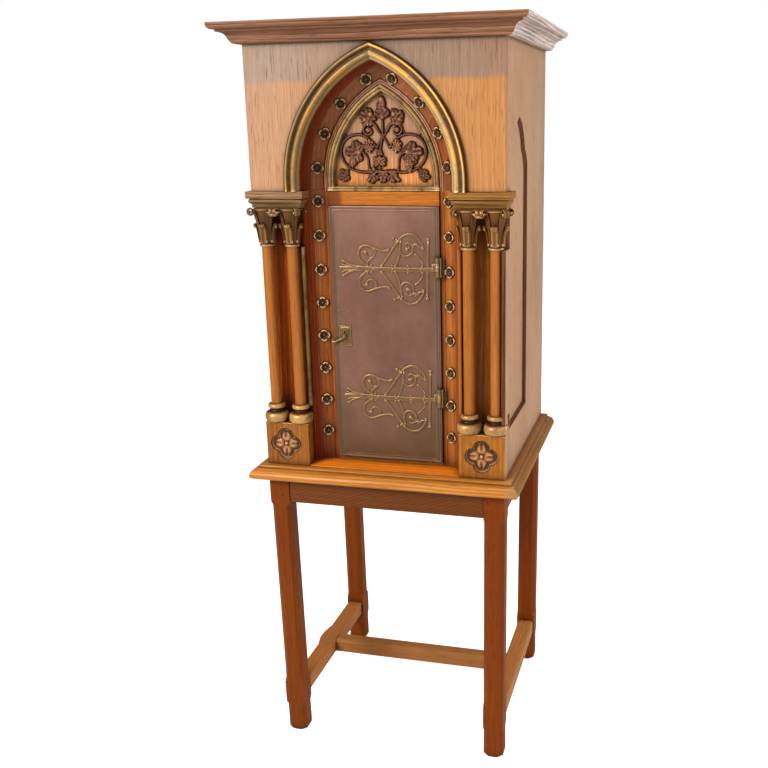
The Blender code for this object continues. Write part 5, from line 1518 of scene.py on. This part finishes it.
# ------------------------------------------------------------------ vine carving
class Relief:
    """A carved relief on an (x, z) grid, as the highest of many rounded shapes."""

    def __init__(self, x0, x1, z0, z1, step):
        self.xs = np.arange(x0, x1 + step * .5, step)
        self.zs = np.arange(z0, z1 + step * .5, step)
        self.X, self.Z = np.meshgrid(self.xs, self.zs)
        self.H = np.zeros_like(self.X)

    def window(self, x0, x1, z0, z1):
        j0, j1 = np.searchsorted(self.xs, x0), np.searchsorted(self.xs, x1)
        i0, i1 = np.searchsorted(self.zs, z0), np.searchsorted(self.zs, z1)
        return slice(max(i0, 0), i1), slice(max(j0, 0), j1)

    def around(self, cx, cz, reach):
        return self.window(cx - reach, cx + reach, cz - reach, cz + reach)

    def raise_to(self, window, heights):
        self.H[window] = np.maximum(self.H[window], heights)

    def cord(self, points, w, h, w_end, k=8):
        """Rounded stem whose half-width goes from w to w_end."""
        P = smooth_line(points, k)
        n = len(P)
        ws = np.linspace(w, w_end, n)
        reach = w * 1.5
        window = self.window(P[:, 0].min() - reach, P[:, 0].max() + reach,
                             P[:, 1].min() - reach, P[:, 1].max() + reach)
        X, Z = self.X[window], self.Z[window]
        q = np.full(X.shape, 9.0)
        for i in range(n - 1):
            ax, az = P[i]
            dx, dz = P[i + 1] - P[i]
            t = np.clip(((X - ax) * dx + (Z - az) * dz) / (dx * dx + dz * dz + 1e-15), 0, 1)
            distance = np.hypot(X - ax - t * dx, Z - az - t * dz)
            q = np.minimum(q, distance / (ws[i] + t * (ws[i + 1] - ws[i])))
        heights = h * np.sqrt(np.clip(1 - q ** 2, 0, 1))
        self.raise_to(window, np.where(q < 1, heights, 0))

    def dome(self, cx, cz, r, h, base=0.0, sx=1.0):
        """Round boss on a base; sx stretches it in x."""
        window = self.around(cx, cz, r * 1.4)
        q = np.hypot((self.X[window] - cx) / sx, self.Z[window] - cz) / r
        heights = base + h * np.sqrt(np.clip(1 - q ** 2, 0, 1))
        self.raise_to(window, np.where(q < 1, heights, 0))

    def lobe(self, cx, cz, angle, length, w, h0, h1, tip=.35, groove=.30, curl=0.0):
        """One leaf lobe from (cx, cz) outward: domed flanks and a sunk midrib."""
        c, s = math.cos(angle), math.sin(angle)
        window = self.around(cx, cz, max(length, w) * 1.4)
        X, Z = self.X[window] - cx, self.Z[window] - cz
        u = (X * c + Z * s) / length
        v = (-X * s + Z * c) - curl * length * np.clip(u, 0, 1) ** 2
        along = np.clip(u * (1 - tip * .5) + tip * .18, 0, 1)
        outline = np.sqrt(np.clip(np.sin(np.pi * along), 0, 1))
        saw = 1 + .09 * np.cos(u * 17)
        q = np.abs(v) / (w * outline * saw + 1e-6)
        inside = (u > -.12) & (u < 1.0) & (q < 1)
        rise = h0 + (h1 - h0) * np.clip(u, 0, 1)
        flanks = np.sqrt(np.clip(1 - q ** 2.4, 0, 1)) * (1 - .35 * (1 - q) ** 2 * groove * 3)
        vein = 1 - groove * np.exp(-(v / (w * .13)) ** 2)
        side_veins = 1 - .10 * (np.cos((u * 5.2 - q * 1.1) * 2 * np.pi) > .72)
        end = np.sqrt(np.clip((1.0 - u) / .16, 0, 1))
        self.raise_to(window, np.where(inside, rise * flanks * vein * side_veins * end, 0))

    def leaf(self, cx, cz, degrees, r, h, n, seed, spread, wfac=.40):
        """n lobes fanned by spread degrees either side of a direction."""
        rng = np.random.default_rng(seed)
        for i in range(n):
            t = (i - (n - 1) / 2) / ((n - 1) / 2)
            length = r * (1.0 - .30 * abs(t) ** 1.3) * (1 + .08 * rng.standard_normal())
            h0 = h * (.62 + .1 * rng.random())
            h1 = h * (1.0 + .1 * rng.standard_normal())
            self.lobe(cx, cz, math.radians(degrees + t * spread), length,
                      r * wfac * (1 - .12 * abs(t)), h0, h1,
                      curl=.10 * rng.standard_normal(), groove=.34)
        self.dome(cx, cz, r * .20, h * .30, h * .45)

    def grapes(self, cx, cz, angle, rows, r, h, seed):
        """Bunch of berries; rows counts them in each row along the angle."""
        rng = np.random.default_rng(seed)
        c, s = math.cos(angle), math.sin(angle)
        for i, count in enumerate(rows):
            for j in range(count):
                u = (i - (len(rows) - 1) / 2) * r * 1.62
                v = (j - (count - 1) / 2) * r * 1.86
                edge = abs(j - (count - 1) / 2) / max(1, (count - 1) / 2)
                berry = r * (1 + .06 * rng.standard_normal())
                base = h - r * .8 - .0012 * edge + .0004 * rng.standard_normal()
                self.dome(cx + u * c - v * s, cz + u * s + v * c, berry, r * .95, base)


def carve_half(rel, m):
    """The stems, leaves and fruit on one side; m is -1 on the left and 1 on the right."""
    def cord(points, w, h, w_end, k=8):
        rel.cord([(m * x, z) for x, z in points], w, h, w_end, k)

    # great scroll: from the root, out and up, over the top and back to the stem
    rel.cord([(-.004, 1.4060)] + [(m * x, z) for x, z in (
        (.020, 1.4085), (.040, 1.4050), (.062, 1.4075), (.082, 1.4170), (.0945, 1.4330),
        (.0985, 1.4520), (.0920, 1.4700), (.0780, 1.4820), (.0600, 1.4865), (.0420, 1.4830),
        (.0260, 1.4720), (.0150, 1.4580))], .0031, .0050, w_end=.0026, k=6)
    cord([(.0150, 1.4580), (.0105, 1.4660), (.0060, 1.4750), (0, 1.4800)],
         .0026, .0046, w_end=.0022)
    # inner turn of the scroll that carries the leaf
    cord([(.0340, 1.4090), (.0350, 1.4220), (.0365, 1.4350), (.0440, 1.4460),
          (.0560, 1.4490)], .0026, .0046, w_end=.0022)
    # side shoots of the stem
    cord([(0, 1.4800), (.0085, 1.4930), (.0150, 1.5060), (.0220, 1.5130)],
         .0023, .0042, w_end=.0019)
    cord([(.0090, 1.4930), (.0170, 1.5060), (.0280, 1.5110), (.0400, 1.5050),
          (.0440, 1.4970), (.0400, 1.4880), (.0315, 1.4860), (.0255, 1.4920),
          (.0280, 1.4985)], .0030, .0062, w_end=.0026)
    rel.dome(m * .0335, 1.4960, .0066, .0062, .0016)
    # upper leaf
    rel.leaf(m * .0310, 1.5200, 90 - m * 62, .0235, .0086, 5, seed=3 + m, spread=128, wfac=.42)
    rel.dome(m * .0262, 1.5290, .0058, .0052, .0040)
    rel.dome(m * .0395, 1.5180, .0050, .0048, .0040)
    # leaf held inside the scroll
    rel.leaf(m * .0620, 1.4475, 90 - m * 78, .0270, .0088, 5, seed=13 + m, spread=126)
    rel.leaf(m * .0585, 1.4400, -90 + m * 40, .0210, .0074, 3, seed=17 + m, spread=62,
             wfac=.44)
    rel.dome(m * .0560, 1.4485, .0060, .0062, .0036)
    # grapes
    rel.grapes(m * .0318, 1.4610, math.radians(-90 - m * 8), (2, 4, 3, 4, 3, 1), .0030, .0086,
               seed=5 + m)
    if m > 0:
        rel.grapes(.0590, 1.4185, math.radians(-80), (3, 3, 4, 3, 2, 1), .0029, .0088, seed=9)
        rel.leaf(.0850, 1.4040, 20, .0120, .0062, 3, seed=23, spread=70)
    else:
        rel.grapes(-.0720, 1.4265, math.radians(-110), (2, 3, 3, 2), .0029, .0084, seed=10)
        rel.leaf(-.0500, 1.4560, 120, .0150, .0078, 3, seed=27, spread=75)
    # corner leaf
    rel.leaf(m * .0920, 1.3970, 90 - m * 30, .0175, .0082, 5, seed=31 + m, spread=150,
             wfac=.36)
    cord([(.0800, 1.4150), (.0860, 1.4070), (.0910, 1.3990)], .0020, .0044, w_end=.0016)
    # tendrils
    cord([(.0880, 1.4760), (.0960, 1.4830), (.0900, 1.4880), (.0840, 1.4850)],
         .0016, .0034, w_end=.0009)
    cord([(.0500, 1.4860), (.0480, 1.4930), (.0430, 1.4950)], .0016, .0034, w_end=.0010)
    # root leaf
    rel.leaf(m * .0200 - .002, 1.3985, -90 + m * 40, .0200, .0088, 3, seed=41 + m, spread=68,
             wfac=.46)
    rel.cord([(-.003, 1.4060), (m * .0120 - .002, 1.4060), (m * .0260, 1.3990),
              (m * .0330, 1.3900)], .0030, .0066, w_end=.0022)
    rel.dome(m * .0345 - .001, 1.3885, .0048, .0062, .0016)


def carve_middle(rel):
    # crown leaf
    rel.leaf(0, 1.5240, 90, .0310, .0088, 3, seed=51, spread=52, wfac=.34)
    rel.dome(-.0010, 1.5590, .0085, .0058, .0026, sx=.85)
    rel.lobe(0, 1.5240, math.radians(90), .0410, .0088, .0062, .0092, tip=.1, groove=.25)
    rel.dome(0, 1.5225, .0050, .0050, .0030)
    # heart leaf and flower on the main stem
    rel.leaf(-.0090, 1.4440, 90, .0120, .0086, 3, seed=61, spread=58, wfac=.52)
    for a in (20, 160, 215, 325):
        rel.lobe(-.0090, 1.4290, math.radians(a), .0165, .0062, .0072, .0096, tip=.25,
                 groove=.25)
    rel.dome(-.0090, 1.4290, .0032, .0040, .0062)
    for a in (62, 118):
        rel.lobe(-.0090, 1.4290, math.radians(a), .0110, .0042, .0062, .0082, tip=.3,
                 groove=.2)
    # berries and leaves at the root
    rel.dome(-.0225, 1.4120, .0050, .0066, .0016)
    rel.dome(-.0320, 1.4105, .0042, .0056, .0016)
    rel.leaf(-.0010, 1.4015, -90, .0190, .0094, 3, seed=71, spread=55, wfac=.44)
    rel.lobe(.012, 1.4055, math.radians(-12), .0190, .0060, .0074, .0090, tip=.3)


def finish_heights(rel):
    """Soften the relief, keep it inside the arch and add light tool marks."""
    H, X, Z = rel.H, rel.X, rel.Z
    kernel = np.array([1, 2, 1.]) / 4
    for axis in (0, 1):
        H = np.apply_along_axis(lambda row: np.convolve(row, kernel, mode="same"), axis, H)
    x = np.abs(X)
    radius = np.where(Z > ARCH_SPRING,
                      np.hypot(x + ARCH_OFFSET, Z - ARCH_SPRING) - ARCH_OFFSET, x)
    H = H * (smooth_step(.1146 - radius, 0, .0025) * smooth_step(Z - 1.3754, 0, .002))
    marks = .00022 * np.sin(X * 2300 + 3 * np.sin(Z * 500)) * np.sin(Z * 1900 + 2)
    return np.where(H > .0012, H + marks, H)


def relief_mesh(rel, H, y_ground, y_back):
    """Closed mesh of the raised cells only, with its mask."""
    live = H > .00035
    cells = live[:-1, :-1] | live[1:, :-1] | live[:-1, 1:] | live[1:, 1:]
    n, m = H.shape
    used = np.zeros((n, m), bool)
    for di in (0, 1):
        for dj in (0, 1):
            used[di:n - 1 + di, dj:m - 1 + dj] |= cells
    ids = -np.ones((n, m), int)
    ids[used] = np.arange(used.sum())
    front = np.stack([rel.X[used], y_ground - np.maximum(H[used], 0), rel.Z[used]], -1)
    back = front.copy()
    back[:, 1] = y_back
    count = len(front)
    i, j = np.nonzero(cells)
    quads = np.stack([ids[i, j], ids[i, j + 1], ids[i + 1, j + 1], ids[i + 1, j]], -1)
    faces = [tuple(q) for q in quads.tolist()]
    faces += [tuple(q) for q in (quads[:, ::-1] + count).tolist()]
    # walls along the edges that only one cell has
    border = {}
    for quad in quads.tolist():
        for k in range(4):
            a, b = quad[k], quad[(k + 1) % 4]
            if (b, a) in border:
                del border[(b, a)]
            else:
                border[(a, b)] = True
    faces += [(b, a, a + count, b + count) for a, b in border]
    mask = np.concatenate([np.clip(H[used] / .0098, 0, 1), np.zeros(count)])
    return (np.concatenate([front, back]), faces), mask


def build_vine():
    rel = Relief(-.1165, .1165, 1.3742, 1.579, step=.00072)
    rel.cord([(-.0085, 1.4010), (-.0090, 1.4200), (-.0088, 1.4420), (-.0060, 1.4600),
              (-.0015, 1.4790), (.0002, 1.4980), (0, 1.5200)], .0034, .0052, w_end=.0024)
    for side, _ in SIDES:
        carve_half(rel, side)
    carve_middle(rel)
    part, mask = relief_mesh(rel, finish_heights(rel), y_ground=.0760, y_back=.0766)
    stand_in("vine_relief", part, "vine_oak", mask=mask, sharp=0, fix_normals=False)


# ------------------------------------------------------------------ door
# Pressed lines round the sheet (inset, half-width, height)
SHEET_LINES = ((.0036, .0011, .0007), (.0076, .0007, -.0005), (.0100, .0006, .0004))
SHEET_FRONT, SHEET_BACK = .0574, .0591


def build_door():
    dress("door_board", "door_oak", bevel=.0008)
    y = SHEET_FRONT
    profile = [(0.0, SHEET_BACK), (0.0, y + .0005), (.0003, y + .0001), (.0008, y)]
    for inset, half, height in SHEET_LINES:
        profile += [(inset + u * half, y - height * math.cos(u * math.pi / 2) ** 2)
                    for u in np.linspace(-1, 1, 7)]
    last = profile[-1][0]
    profile += [(last + .003, y), (last + .02, y)]
    stand_in("door_facing", framed_plate(profile, -.1286, .1286, .7373, 1.3322, 12),
             "copper_sheet", sharp=45)


# Bar sections (share of half-width, share of height)
RIDGED = [(-1, -.12), (-1, .18), (-.90, .50), (-.60, .80), (-.25, .96), (0, 1.0), (.25, .96),
          (.60, .80), (.90, .50), (1, .18), (1, -.12)]
FLAT = [(-1, -.12), (-1, .55), (-.93, .80), (-.80, .92), (-.55, .98), (0, 1.0), (.55, .98),
        (.80, .92), (.93, .80), (1, .55), (1, -.12)]
BAR_WIDENING = 1.16       # applied to every bar's half-widths


def stroke(points, widths, heights, y, k=8, section=RIDGED, rounded=True):
    """Bar lying on the plane y along (x, z) points; rounded narrows and lowers its ends."""
    P = smooth_line(points, k)
    n = len(P)
    ws = spread(np.asarray(widths, float) * BAR_WIDENING, n)
    hs = spread(heights, n)
    run = np.concatenate([[0], np.cumsum(np.hypot(*np.diff(P, axis=0).T))])
    rings = []
    for i in range(n):
        tx, tz = unit_tangent(P, i)
        end = 1.0
        if rounded:
            q = min(run[i], run[-1] - run[i]) / max(ws[i], 1e-5)
            end = math.sqrt(max(.02, 1 - (1 - min(1, q)) ** 2))
        rings.append([(P[i][0] - tz * u * ws[i] * end, y - d * hs[i] * (.35 + .65 * end),
                       P[i][1] + tx * u * ws[i] * end) for u, d in section])
    return tube(rings)


def stud(x, z, r, h, y):
    """Domed nail head standing h off the plane y."""
    profile = [(.0002, -.0004), (r, -.0004), (r, h * .25), (r * .92, h * .55),
               (r * .72, h * .82), (r * .4, h * .96), (.0002, h)]
    return lathe_forward(profile, x, y, z, 18)


# ------------------------------------------------------------------ strap hinges
STRAP_Y = .0573
STRAP_Z = {"upper": 1.1925, "lower": .8907}
KNUCKLE_RISE = .006       # of the knuckle above the strap's middle line
PIN_X, PIN_Y = .1250, .0500


class Strap:
    """Bars and studs placed about the strap's middle line; side -1 mirrors them below it."""

    def __init__(self, z):
        self.z = z
        self.soup = Soup()

    def bar(self, points, widths, heights, side=1, k=8, section=RIDGED):
        self.soup.add(stroke([(x, self.z + side * z) for x, z in points], widths, heights,
                             STRAP_Y, k, section))

    def stud(self, x, z, r, h, side=1):
        self.soup.add(stud(x, self.z + side * z, r, h, STRAP_Y))


def strap_bar_and_tip(s):
    s.bar([(-.070, 0), (-.040, -.0004), (0, -.0008), (.04, -.0008), (.08, -.0006), (.108, 0),
           (.1195, .002)], [.0056, .0048, .0044, .0043, .0043, .0045, .0048, .0060], .0026,
          section=FLAT)
    s.bar([(-.058, 0), (-.080, .0010), (-.096, .0005), (-.1085, .0015)],
          [.0062, .0050, .0044, .0028], [.0024, .0028, .0026, .0020])
    for side in (1, -1):
        s.bar([(-.056, .0015), (-.072, .0045), (-.084, .0085), (-.0935, .0140),
               (-.0985, .0165)], [.0036, .0032, .0029, .0025, .0024],
              [.0024, .0028, .0028, .0026], side)
        s.stud(-.0990, .0170, .0032, .0032, side)
        s.bar([(-.074, .0045), (-.090, .0055), (-.1020, .0090)], [.0024, .0022, .0014],
              .0022, side)


def strap_scrolls(s, side):
    """Everything on one side of the middle line, from the tip toward the knuckle."""
    # scroll nearest the tip
    s.bar([(-.0395, .003), (-.0480, .0110), (-.0575, .0200), (-.0612, .0310),
           (-.0582, .0430), (-.0490, .0508), (-.0370, .0512), (-.0240, .0462),
           (-.0110, .0422), (.0010, .0408), (.0095, .0425)],
          [.0026, .0028, .0029, .0029, .0028, .0026, .0026, .0024, .0022, .0024, .0030],
          .0028, side, 7)
    s.stud(.0100, .0432, .0030, .0030, side)
    s.bar([(-.0250, .0465), (-.0215, .0385), (-.0245, .0285), (-.0330, .0205),
           (-.0400, .0130), (-.0400, .0030)], [.0020, .0025, .0026, .0026, .0024, .0024],
          .0026, side, 7)
    s.bar([(-.0270, .0255), (-.0360, .0255), (-.0425, .0310), (-.0450, .0370),
           (-.0500, .0380)], [.0020, .0020, .0022, .0022, .0012], .0022, side, 7)
    s.stud(-.0440, .0372, .0040, .0038, side)
    # raking bar with a trefoil end
    s.bar([(-.0100, .0030), (.0060, .0240), (.0200, .0445), (.0350, .0660)],
          [.0027, .0026, .0026, .0030], .0028, side)
    for x, z in ((.0225, .0690), (.0300, .0655), (.0375, .0675)):
        s.stud(x, z, .0033, .0034, side)
    # great outer arc
    s.bar([(.0345, .0655), (.0450, .0740), (.0580, .0785), (.0710, .0760), (.0815, .0670),
           (.0885, .0560), (.0905, .0480)],
          [.0026, .0027, .0027, .0026, .0025, .0024, .0028], .0028, side)
    s.stud(.0905, .0470, .0032, .0032, side)
    # upright curve from the strap to the start of the arc
    s.bar([(.0235, .0030), (.0300, .0160), (.0345, .0310), (.0368, .0470), (.0400, .0650)],
          [.0026, .0026, .0026, .0024, .0022], .0027, side)
    # inner scroll
    s.bar([(.0365, .0480), (.0385, .0380), (.0455, .0310), (.0550, .0305), (.0640, .0365),
           (.0670, .0460), (.0630, .0560), (.0550, .0590), (.0500, .0550)],
          [.0026, .0026, .0027, .0027, .0027, .0025, .0023, .0020, .0014], .0027, side)
    s.stud(.0535, .0455, .0044, .0040, side)
    s.bar([(.0560, .0455), (.0600, .0500), (.0585, .0545)], [.0022, .0018, .0012], .0022,
          side)
    # leaf thrown off the scroll
    s.bar([(.0630, .0560), (.0700, .0545), (.0760, .0560), (.0810, .0520), (.0880, .0500)],
          [.0020, .0028, .0024, .0028, .0012], .0025, side, 7)
    s.bar([(.0700, .0545), (.0730, .0610)], [.0022, .0012], .0022, side)
    s.bar([(.0880, .0180), (.0780, .0290), (.0700, .0350)], [.0010, .0020, .0022], .0020,
          side, 7)
    s.bar([(.0880, .0180), (.0890, .0100), (.0860, .0040)], [.0014, .0020, .0022], .0022,
          side, 7)


def strap_root(s):
    """Upright bar, nails and the knuckle wrapped round the pin."""
    s.bar([(.1030, .0660), (.1015, .0300), (.1005, 0), (.0995, -.0330), (.0990, -.0630)],
          [.0024, .0028, .0032, .0028, .0024], .0029)
    s.stud(.1030, .0680, .0040, .0040)
    s.stud(.0990, -.0650, .0040, .0040)
    for x in (-.066, -.026, .019, .056, .086, .112):
        s.stud(x, .0002, .0024, .0042)
    for x, z in ((-.031, .0078), (.018, .0072), (.055, .0072), (.088, .0072)):
        for side in (1, -1):
            s.stud(x, z, .0026, .0028, side)
    z_knuckle = s.z + KNUCKLE_RISE
    # upper half (radius, height), mirrored below
    half = [(.0050, .0050), (.0046, .0056), (.0050, .0062), (.0050, .0083), (.0044, .0090),
            (.0022, .0090)]
    profile = [(r, z_knuckle - z) for r, z in reversed(half)]
    profile += [(r, z_knuckle + z) for r, z in half]
    s.soup.add(lathe(smooth_line(profile, 2, sharp=range(12)), PIN_X, PIN_Y, 28))
    s.soup.add(stroke([(.1120, z_knuckle - .001), (.1200, z_knuckle), (.1262, z_knuckle)],
                      [.0060, .0086, .0088], [.0026, .0040, .0052], .0571, 6, FLAT,
                      rounded=False))


# Hinge pin (radius, height), later fitted to the CAD pin's length
HINGE_PIN = smooth_line([
    (.0003, -.0322), (.0014, -.0318), (.0030, -.0300), (.0033, -.0284), (.0026, -.0270),
    (.0020, -.0264), (.0020, -.0258), (.0020, .0258), (.0020, .0264), (.0026, .0270),
    (.0033, .0284), (.0030, .0300), (.0014, .0318), (.0003, .0322)], 3, sharp=(5, 6, 7, 8))


def build_hinges():
    for which, z in STRAP_Z.items():
        strap = Strap(z)
        strap_bar_and_tip(strap)
        for side in (1, -1):
            strap_scrolls(strap, side)
        strap_root(strap)
        stand_in("strap_hinge_" + which, strap.soup.part(), "hinge_brass", sharp=46)
    for which, z in STRAP_Z.items():
        dress("hinge_leaf_" + which, "knuckle_brass", bevel=.0004, segments=2)
        profile = HINGE_PIN.copy()
        low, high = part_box("hinge_pin_" + which)
        ends = [profile[:, 1].min(), profile[:, 1].max()]
        profile[:, 1] = np.interp(profile[:, 1], ends, [low.z, high.z])
        stand_in("hinge_pin_" + which, lathe(profile, PIN_X, PIN_Y, 24), "knuckle_brass",
                 sharp=45)
        soup = Soup()
        for dz in (-.0168, .0168):
            soup.add(stud(.1358, z + KNUCKLE_RISE + dz, .0019, .0010, .0641 - .0019))
        put(f"hinge_leaf_{which}_nails", soup.part(), "hinge_brass", "hinge_leaf_" + which,
            sharp=45)


# ------------------------------------------------------------------ lock
LOCK_X0, LOCK_X1, LOCK_Z0, LOCK_Z1, LOCK_Y = -.1150, -.0850, 1.0100, 1.0582, .0553
KEY_X, KEY_Z = -.1004, 1.0440
LEVER_Z = 1.0345
# Lever spindle (radius, height toward the front)
SPINDLE = [
    (.0003, -.0766), (.0040, -.0766), (.0040, -.0560), (.0040, -.0530), (.0048, -.0526),
    (.0052, -.0518), (.0052, -.0508), (.0046, -.0498), (.0034, -.0492), (.0030, -.0484),
    (.0024, -.0474), (.0003, -.0470)]
# Lever arm (x, z) from the spindle's axis
LEVER_ARM = [
    (.0030, .0022), (0, 0), (-.0060, -.0056), (-.0120, -.0090), (-.0180, -.0120),
    (-.0240, -.0146), (-.0300, -.0153), (-.0338, -.0150)]


def build_lock_plate():
    y = LOCK_Y
    profile = [(0, .0571), (0, y + .0008), (.0003, y + .0003), (.0009, y), (.0022, y),
               (.0026, y + .0004), (.0031, y + .0004), (.0035, y), (.0070, y - .0001)]
    stand_in("escutcheon", framed_plate(profile, LOCK_X0, LOCK_X1, LOCK_Z0, LOCK_Z1, 8),
             "lock_brass", sharp=45)
    # corner nails and the raised collar of the keyhole
    soup = Soup()
    for z in (LOCK_Z1 - .0042, LOCK_Z0 + .0042):
        for x in (LOCK_X0 + .0042, LOCK_X1 - .0042):
            soup.add(stud(x, z, .0017, .0011, y))
    ring = smooth_line([(KEY_X + .0034 * math.cos(a), KEY_Z + .0034 * math.sin(a))
                        for a in np.radians(np.arange(-58, 239, 27))], 3)
    foot = [ring[0], (KEY_X + .0014, KEY_Z - .0066), (KEY_X, KEY_Z - .0072),
            (KEY_X - .0014, KEY_Z - .0066), ring[-1]]
    for points, k in ((ring, 1), (foot, 4)):
        soup.add(stroke(points, .0007, .0010, y + .0001, k, rounded=False))
    put("escutcheon_details", soup.part(), "lock_brass", "escutcheon", sharp=45)
    # A dark disc and slot stand for the shaded keyhole: painted shade.
    soup = Soup()
    soup.add(stud(KEY_X, KEY_Z, .0024, .0003, y))
    soup.add(stroke([(KEY_X, KEY_Z), (KEY_X, KEY_Z - .0060)], [.0010, .0013], .0003, y, 4,
                    FLAT))
    put("keyhole_v", soup.part(), "keyhole_shade", "escutcheon", sharp=45)


def build_lock():
    build_lock_plate()
    # two rivets above the plate and two smaller ones below: z, radius, height
    soup = Soup()
    for z, r, h in ((1.0910, .0024, .0016), (.988, .0018, .0010)):
        for x in (-.1135, -.0885):
            soup.add(stud(x, z, r, h, SHEET_FRONT))
    put("door_rivets", soup.part(), "lock_brass", "door_facing", sharp=45)

    soup = Soup()
    soup.add(lathe_forward(smooth_line(SPINDLE, 2, sharp=range(12)), KEY_X, 0, LEVER_Z, 28))
    soup.add(stroke([(KEY_X + x, LEVER_Z + z) for x, z in LEVER_ARM],
                    [.0050, .0046, .0032, .0029, .0026, .0027, .0034, .0038],
                    [.0040, .0040, .0034, .0032, .0030, .0028, .0024, .0018], .0520))
    stand_in("lock_lever", soup.part(), "lock_brass", sharp=45)
    dress("lock_case", "lock_steel", bevel=.0006)
    dress("lock_bolt", "lock_steel", bevel=.0004, segments=2)


# ------------------------------------------------------------------ studio
def build_floor():
    mesh = bpy.data.meshes.new("floor")
    bm = bmesh.new()
    bmesh.ops.create_grid(bm, x_segments=24, y_segments=24, size=9.0)
    bm.to_mesh(mesh)
    bm.free()
    floor = bpy.data.objects.new("floor", mesh)
    bpy.context.scene.collection.objects.link(floor)
    floor.location = (0, 0, -.0006)
    mesh.materials.append(floor_finish())
    floor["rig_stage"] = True


def build_world():
    """White to the camera, soft warm light to the rest, dimmer in reflections."""
    world = bpy.data.worlds.new("studio")
    bpy.context.scene.world = world
    world.use_nodes = True
    nodes, link = world.node_tree.nodes, world.node_tree.links.new
    nodes.clear()

    def background(colour, strength):
        node = nodes.new("ShaderNodeBackground")
        node.inputs[0].default_value = colour
        node.inputs[1].default_value = strength
        return node.outputs[0]

    ambient = background(colour=(1, .985, .965, 1), strength=.26)
    backdrop = background(colour=(1, 1, 1, 1), strength=1.0)
    ray = nodes.new("ShaderNodeLightPath")
    by_camera = nodes.new("ShaderNodeMixShader")
    output = nodes.new("ShaderNodeOutputWorld")
    reflected = background(colour=(1, .97, .94, 1), strength=.16)
    by_gloss = nodes.new("ShaderNodeMixShader")
    for mixer, test, otherwise, if_so in (
            (by_gloss, "Is Glossy Ray", ambient, reflected),
            (by_camera, "Is Camera Ray", by_gloss.outputs[0], backdrop)):
        link(ray.outputs[test], mixer.inputs[0])
        link(otherwise, mixer.inputs[1])
        link(if_so, mixer.inputs[2])
    link(by_camera.outputs[0], output.inputs[0])


def area_light(name, location, target, size, power, colour):
    light = bpy.data.lights.new(name, "AREA")
    light.shape = "RECTANGLE"
    light.size, light.size_y = size
    light.energy = power
    light.color = colour
    ob = bpy.data.objects.new(name, light)
    bpy.context.scene.collection.objects.link(ob)
    ob.location = location
    direction = Vector(target) - Vector(location)
    ob.rotation_euler = direction.to_track_quat("-Z", "Y").to_euler()


def build_lights():
    area_light("key", (-2.1, -3.3, 2.7), target=(0, 0, 1.0), size=(1.3, 1.3), power=165,
               colour=(1, .96, .90))
    area_light("side", (3.4, .9, 2.1), target=(.25, .05, 1.0), size=(1.8, 2.2), power=95,
               colour=(.98, .98, 1.0))
    area_light("front", (1.5, -2.1, 1.5), target=(.1, 0, 1.0), size=(1.2, 1.6), power=15,
               colour=(1, .97, .93))
    area_light("top", (0, -.9, 4.2), target=(0, 0, 1.0), size=(1.6, 1.6), power=28,
               colour=(1, .98, .95))


def build_camera():
    """Camera in front, to the right of the cabinet and a little above its middle."""
    camera = bpy.data.cameras.new("camera")
    camera.sensor_width = 36
    camera.lens = 46.18
    camera.shift_x = -.0794
    camera.clip_end = 60
    ob = bpy.data.objects.new("camera", camera)
    bpy.context.scene.collection.objects.link(ob)
    back = Vector((.2390, -.9353, .2610))
    back.normalize()
    right = Vector((.9697, .2440, -.0137))
    right = (right - back * right.dot(back)).normalized()
    up = back.cross(right)
    place = (.6768, -2.2962, 1.52)
    rows = [(right[i], up[i], back[i], place[i]) for i in range(3)]
    ob.matrix_world = Matrix((*rows, (0, 0, 0, 1)))
    scene = bpy.context.scene
    scene.camera = ob
    scene.view_settings.view_transform = "Standard"
    scene.view_settings.look = "None"
    scene.view_settings.exposure = 0
    scene.view_settings.gamma = 1


# ------------------------------------------------------------------ build
stand_finishes()
case_finishes()
column_finishes()
surround_finishes()
gilt_finishes()
carved_and_metal_finishes()

build_stand()
build_stand_top()
build_case()
build_cornice()
dress("head_panel", "head_oak", bevel=.0010, angle=30, clamp=False)
build_hood()
build_arch_rings()
build_surround()
build_rosettes()
build_shafts()
for side, place in SIDES:
    build_capitals(side, place)
    build_bases(side, place)
build_imposts()
for side, place in SIDES:
    build_pedestal(side, place)
build_cheek()
build_vine()
build_door()
build_hinges()
build_lock()

build_floor()
build_world()
build_lights()
build_camera()

write_bounds()
